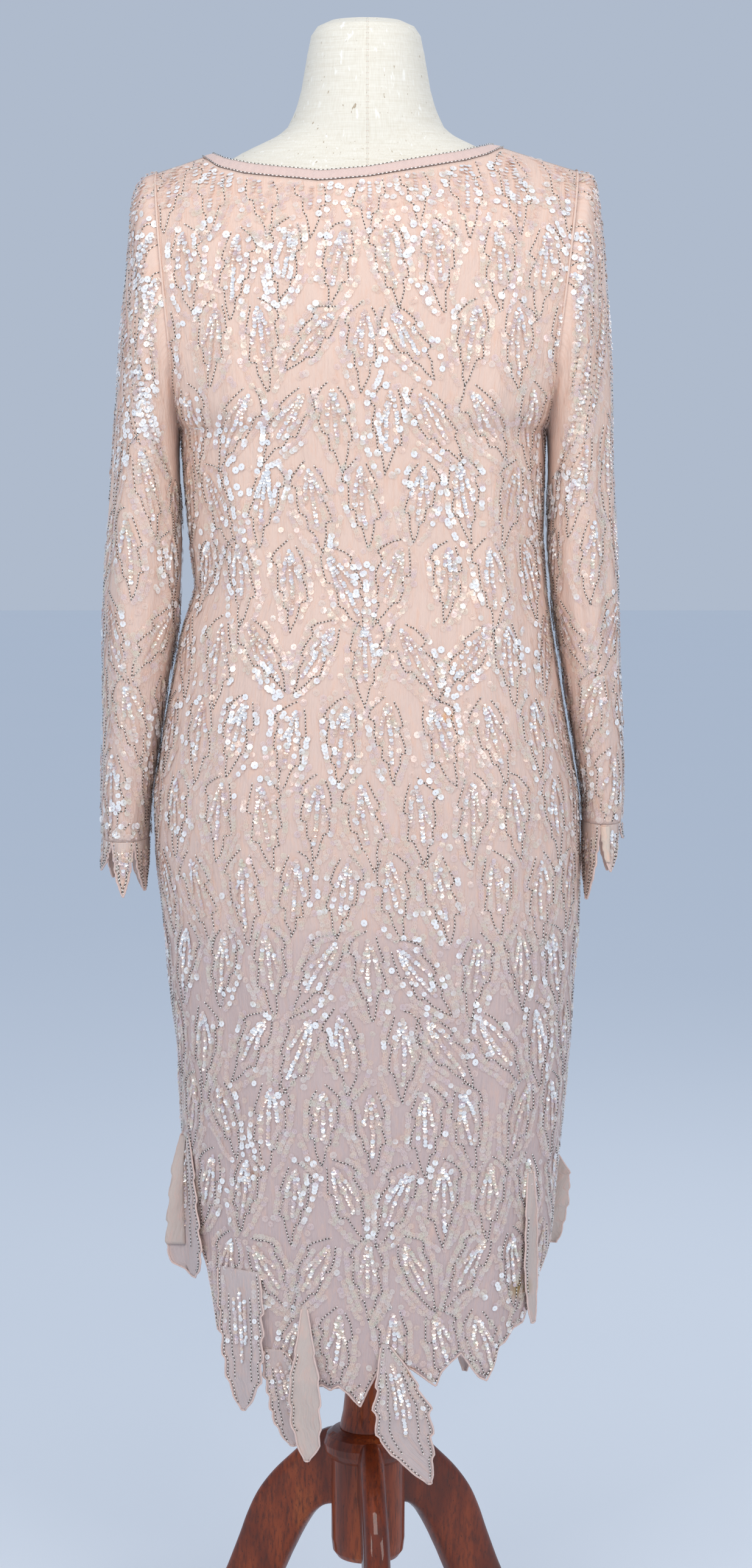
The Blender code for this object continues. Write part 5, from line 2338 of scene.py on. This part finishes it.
@dataclass
class TripodStand:
    """The turned post, collar and hub and the three curved legs, in mahogany."""

    post: tuple = (
        (19.0, 737.6),
        (19.0, 420),
        (19.2, 340),
        (20.6, 302),
        (23.0, 280),
        (26.0, 266),
        (26.0, 264.2),
    )
    collar: tuple = (
        (27.0, 263.9),
        (33.0, 262.4),
        (38.0, 258.5),
        (41.0, 251.0),
        (40.6, 245.0),
        (38.0, 240.0),
        (34.4, 236.6),
    )
    hub: tuple = ((33.6, 236.3), (33.9, 200), (33.9, 160), (32.6, 149), (28.5, 143.2), (22.0, 141.0))
    legs: tuple = (("front", -85.5), ("right", 34.5), ("left", 154.5))
    thick: float = 0.0245
    squareness: float = 3.6
    leg_rows: tuple = (
        (24, 262, 24, 189),
        (44, 257, 42, 185),
        (60, 246, 54, 176),
        (76, 231, 62, 165),
        (96, 211, 70, 151),
        (112, 190, 76, 139),
        (123, 168, 81, 129),
        (131, 147, 86, 118),
        (139, 127, 93, 103),
        (147, 108, 101, 87),
        (159, 84, 112, 70),
        (176, 62, 128, 51),
        (199, 44, 150, 31),
        (224, 31, 173, 14),
        (244, 20, 188, 4),
        (250, 8, 194, 1),
        (247, 0, 197, 0),
    )

    def turned(self, name: str, rows: tuple, around: int = 72) -> bpy.types.Object:
        """Turns a piece from its radius and height rows.

        Args:
            name: The piece's name.
            rows: Radius and height in millimetres, from the top down.
            around: Number of sides.

        Returns:
            The new object.
        """
        table = np.array(rows, float)
        run = np.append(0.0, np.cumsum(np.linalg.norm(np.diff(table, axis=0), axis=1)))
        fine = np.unique(np.concatenate([np.linspace(0, run[-1], 36), run]))
        radius, height = (np.interp(fine, run, table[:, i]) for i in (0, 1))
        angles = np.linspace(0, 2 * math.pi, around, endpoint=False)
        x, y = radius[:, None] * np.cos(angles), radius[:, None] * np.sin(angles)
        z = np.broadcast_to(height[:, None], x.shape)
        points = np.stack([x, y, z], axis=-1).reshape(-1, 3) * MM
        faces = grid_faces(len(fine), around, True).tolist()
        faces.append(list(range(around - 1, -1, -1)))
        faces.append([(len(fine) - 1) * around + i for i in range(around)])
        obj = mesh_piece(name, points, faces)
        fix_direction(obj)
        deselect()
        obj.select_set(True)
        bpy.context.view_layer.objects.active = obj
        bpy.ops.object.shade_smooth_by_angle(angle=math.radians(40))
        return obj

    def leg(self, name: str, degrees: float) -> bpy.types.Object:
        """Shapes one curved leg with soft edges.

        Args:
            name: The piece's name.
            degrees: Its direction round the post.

        Returns:
            The new object.
        """
        turn = math.radians(degrees)
        forward = np.array((math.cos(turn), math.sin(turn), 0.0))
        aside = np.array((-math.sin(turn), math.cos(turn), 0.0))
        table = np.array(self.leg_rows, float)
        given = np.arange(len(table))
        fine = np.linspace(0, len(table) - 1, (len(table) - 1) * 5 + 1)
        rows = np.stack([self.curve(given, column, fine) for column in table.T], axis=1) * MM
        angles = np.linspace(0, 2 * math.pi, 40, endpoint=False)
        power = 2.0 / self.squareness
        along = np.sign(np.cos(angles)) * np.abs(np.cos(angles)) ** power
        across = np.sign(np.sin(angles)) * np.abs(np.sin(angles)) ** power
        top = rows[:, :1] * forward + rows[:, 1:2] * (0, 0, 1)
        under = rows[:, 2:3] * forward + rows[:, 3:4] * (0, 0, 1)
        rings = 0.5 * (top + under)[:, None] + 0.5 * along[None, :, None] * (top - under)[:, None]
        rings = rings + 0.5 * self.thick * across[None, :, None] * aside
        rings[..., 2] = np.maximum(rings[..., 2], 0.0)
        count = len(fine)
        faces = grid_faces(count, 40, True).tolist()
        faces.append(list(range(39, -1, -1)))
        faces.append([(count - 1) * 40 + i for i in range(40)])
        obj = mesh_piece(name, rings.reshape(-1, 3), faces)
        fix_direction(obj)
        deselect()
        obj.select_set(True)
        bpy.context.view_layer.objects.active = obj
        bpy.ops.object.shade_smooth_by_angle(angle=math.radians(50))
        return obj

    def curve(self, given: np.ndarray, values: np.ndarray, wanted: np.ndarray) -> np.ndarray:
        """Reads a column smoothly between its rows.

        Args:
            given: Numbers of the rows.
            values: The column.
            wanted: Places between the rows to read it at.

        Returns:
            The values there.
        """
        k = np.clip(wanted.astype(int), 0, len(given) - 2)
        t = wanted - k
        before, after = values[np.maximum(k - 1, 0)], values[np.minimum(k + 2, len(values) - 1)]
        start, end = values[k], values[k + 1]
        first, second = 0.5 * (end - before), 0.5 * (after - start)
        h = t * t * (3 - 2 * t)
        return start * (1 - h) + end * h + first * (t**3 - 2 * t * t + t) + second * (t**3 - t * t)

    def build(self) -> None:
        """Makes the whole stand and dresses it."""
        round_wood = Mahogany("turned_mahogany").make()
        leg_wood = Mahogany("leg_mahogany", (1.0, 0.35, 0.22)).make()
        for name, rows in (("post", self.post), ("collar", self.collar), ("hub", self.hub)):
            self.dress(self.turned("wood_" + name, rows), round_wood, "stand_" + name)
        for name, degrees in self.legs:
            self.dress(self.leg("wood_leg_" + name, degrees), leg_wood, "stand_leg_" + name)

    def dress(self, obj: bpy.types.Object, material: bpy.types.Material, node: str) -> None:
        """Gives a piece its finish, its body and the solid that it stands for.

        Args:
            obj: The piece.
            material: Its finish.
            node: The solid that it stands for.
        """
        obj.data.materials.append(material)
        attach(obj, "root")
        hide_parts(node)
        LOG.info("%s: %d faces", obj.name, len(obj.data.polygons))


@dataclass(frozen=True)
class Studio:
    """The floor, the soft lights and the camera."""

    camera_place: tuple = (0.0124, -2.847, 1.165)
    tilt: float = 84.0
    lens: float = 49.395

    def build(self) -> None:
        """Makes the floor, the lights, the sky and the camera."""
        deselect()
        bpy.ops.mesh.primitive_plane_add(size=40.0, location=(0, 0, 0))
        floor = bpy.context.object
        floor.name = "studio_floor"
        m = Nodes("pale_floor")
        place = m.add("ShaderNodeTexCoord").outputs["Object"]
        tone = m.noise(place, 1.5, 3.0)
        m.link(m.mix(tone, (0.90, 0.94, 0.985), (0.92, 0.955, 0.99)), m.shader.inputs["Base Color"])
        m.set(Roughness=0.9)
        floor.data.materials.append(m.material)
        world = bpy.context.scene.world or bpy.data.worlds.new("studio")
        bpy.context.scene.world = world
        world.use_nodes = True
        sky = world.node_tree.nodes["Background"]
        sky.inputs["Color"].default_value = (0.67, 0.775, 0.95, 1.0)
        sky.inputs["Strength"].default_value = 0.64
        bpy.context.scene.view_settings.view_transform = "Standard"
        self.light("key", (-1.4, -2.1, 2.2), (0.0, 0.0, 1.25), 0.9, 19.0)
        self.light("fill", (1.5, -2.0, 2.1), (0.0, 0.0, 1.2), 0.9, 16.0)
        self.light("top", (0.1, -1.4, 2.6), (0.0, 0.0, 1.25), 0.7, 11.0)
        self.light("rim", (1.4, 2.0, 2.4), (0.0, 0.0, 1.0), 1.2, 9.0)
        camera = bpy.data.cameras.new("camera")
        camera.sensor_fit = "VERTICAL"
        camera.sensor_height = 24.0
        camera.lens = self.lens
        camera.clip_end = 80.0
        eye = bpy.data.objects.new("camera", camera)
        eye.location = self.camera_place
        eye.rotation_euler = (math.radians(self.tilt), 0.0, 0.0)
        bpy.context.scene.collection.objects.link(eye)
        bpy.context.scene.camera = eye

    def light(self, name: str, place: tuple, aim: tuple, size: float, power: float) -> None:
        """Adds one soft light.

        Args:
            name: Its name.
            place: Where it stands.
            aim: What it points at.
            size: Its side in metres.
            power: Its power in watts.
        """
        lamp = bpy.data.lights.new(name, "AREA")
        lamp.size, lamp.energy = size, power
        lamp.color = (1.0, 0.965, 0.915)
        obj = bpy.data.objects.new(name, lamp)
        obj.location = place
        way = np.array(aim, float) - np.array(place, float)
        flat = math.hypot(way[0], way[1])
        obj.rotation_euler = (math.atan2(flat, -way[2]), 0.0, math.atan2(way[1], way[0]) - math.pi / 2)
        bpy.context.scene.collection.objects.link(obj)


def main() -> None:
    """Builds every piece and reports it."""
    Studio().build()
    linen, thread = Linen().make(), Thread("seam_thread", (0.66, 0.56, 0.42)).make()
    DressForm().build(linen, thread)
    TripodStand().build()
    dress = DressCloth()
    dress.panel("dress_back", BACK_FORM, BACK_CUT)
    dress.panel("dress_front", FRONT_FORM, FRONT_CUT)
    dress.sleeve("sleeve_left", LEFT_FORM, -1.0)
    dress.sleeve("sleeve_right", RIGHT_FORM, 1.0)
    NeckBand(dress).build()
    loose = LooseLeaves(dress)
    turned = {
        "hem_leaf_side_left": Turn.OUTER,
        "hem_leaf_folded": Turn.ALL,
        "hem_leaf_strip": Turn.ALL,
        "hem_leaf_side_right": Turn.ALL,
        "cuff_right_leaf_back": Turn.OUTER,
    }
    for side, table, rows, sign in (
        ("left", LEFT_CUFF, LEFT_SLEEVE, -1.0),
        ("right", RIGHT_CUFF, RIGHT_SLEEVE, 1.0),
    ):
        for place, start, end, tip_height, tip_place in table:
            name = f"cuff_{side}_leaf_{place}"
            leaf = CuffLeaf(rows, start, end, tip_height, tip_place)
            loose.build(name, leaf, sign, turned.get(name, Turn.NONE), f"sleeve_{side}_cloth")
    for table, form, sign, base in (
        (BACK_LEAVES, BACK_FORM, 1.0, "dress_back_cloth"),
        (FRONT_LEAVES, FRONT_FORM, -1.0, "dress_front_cloth"),
    ):
        for name, rows in table.items():
            loose.build(name, HemLeaf(rows, form), sign, turned.get(name, Turn.NONE), base)


if __name__ == "__main__":
    main()
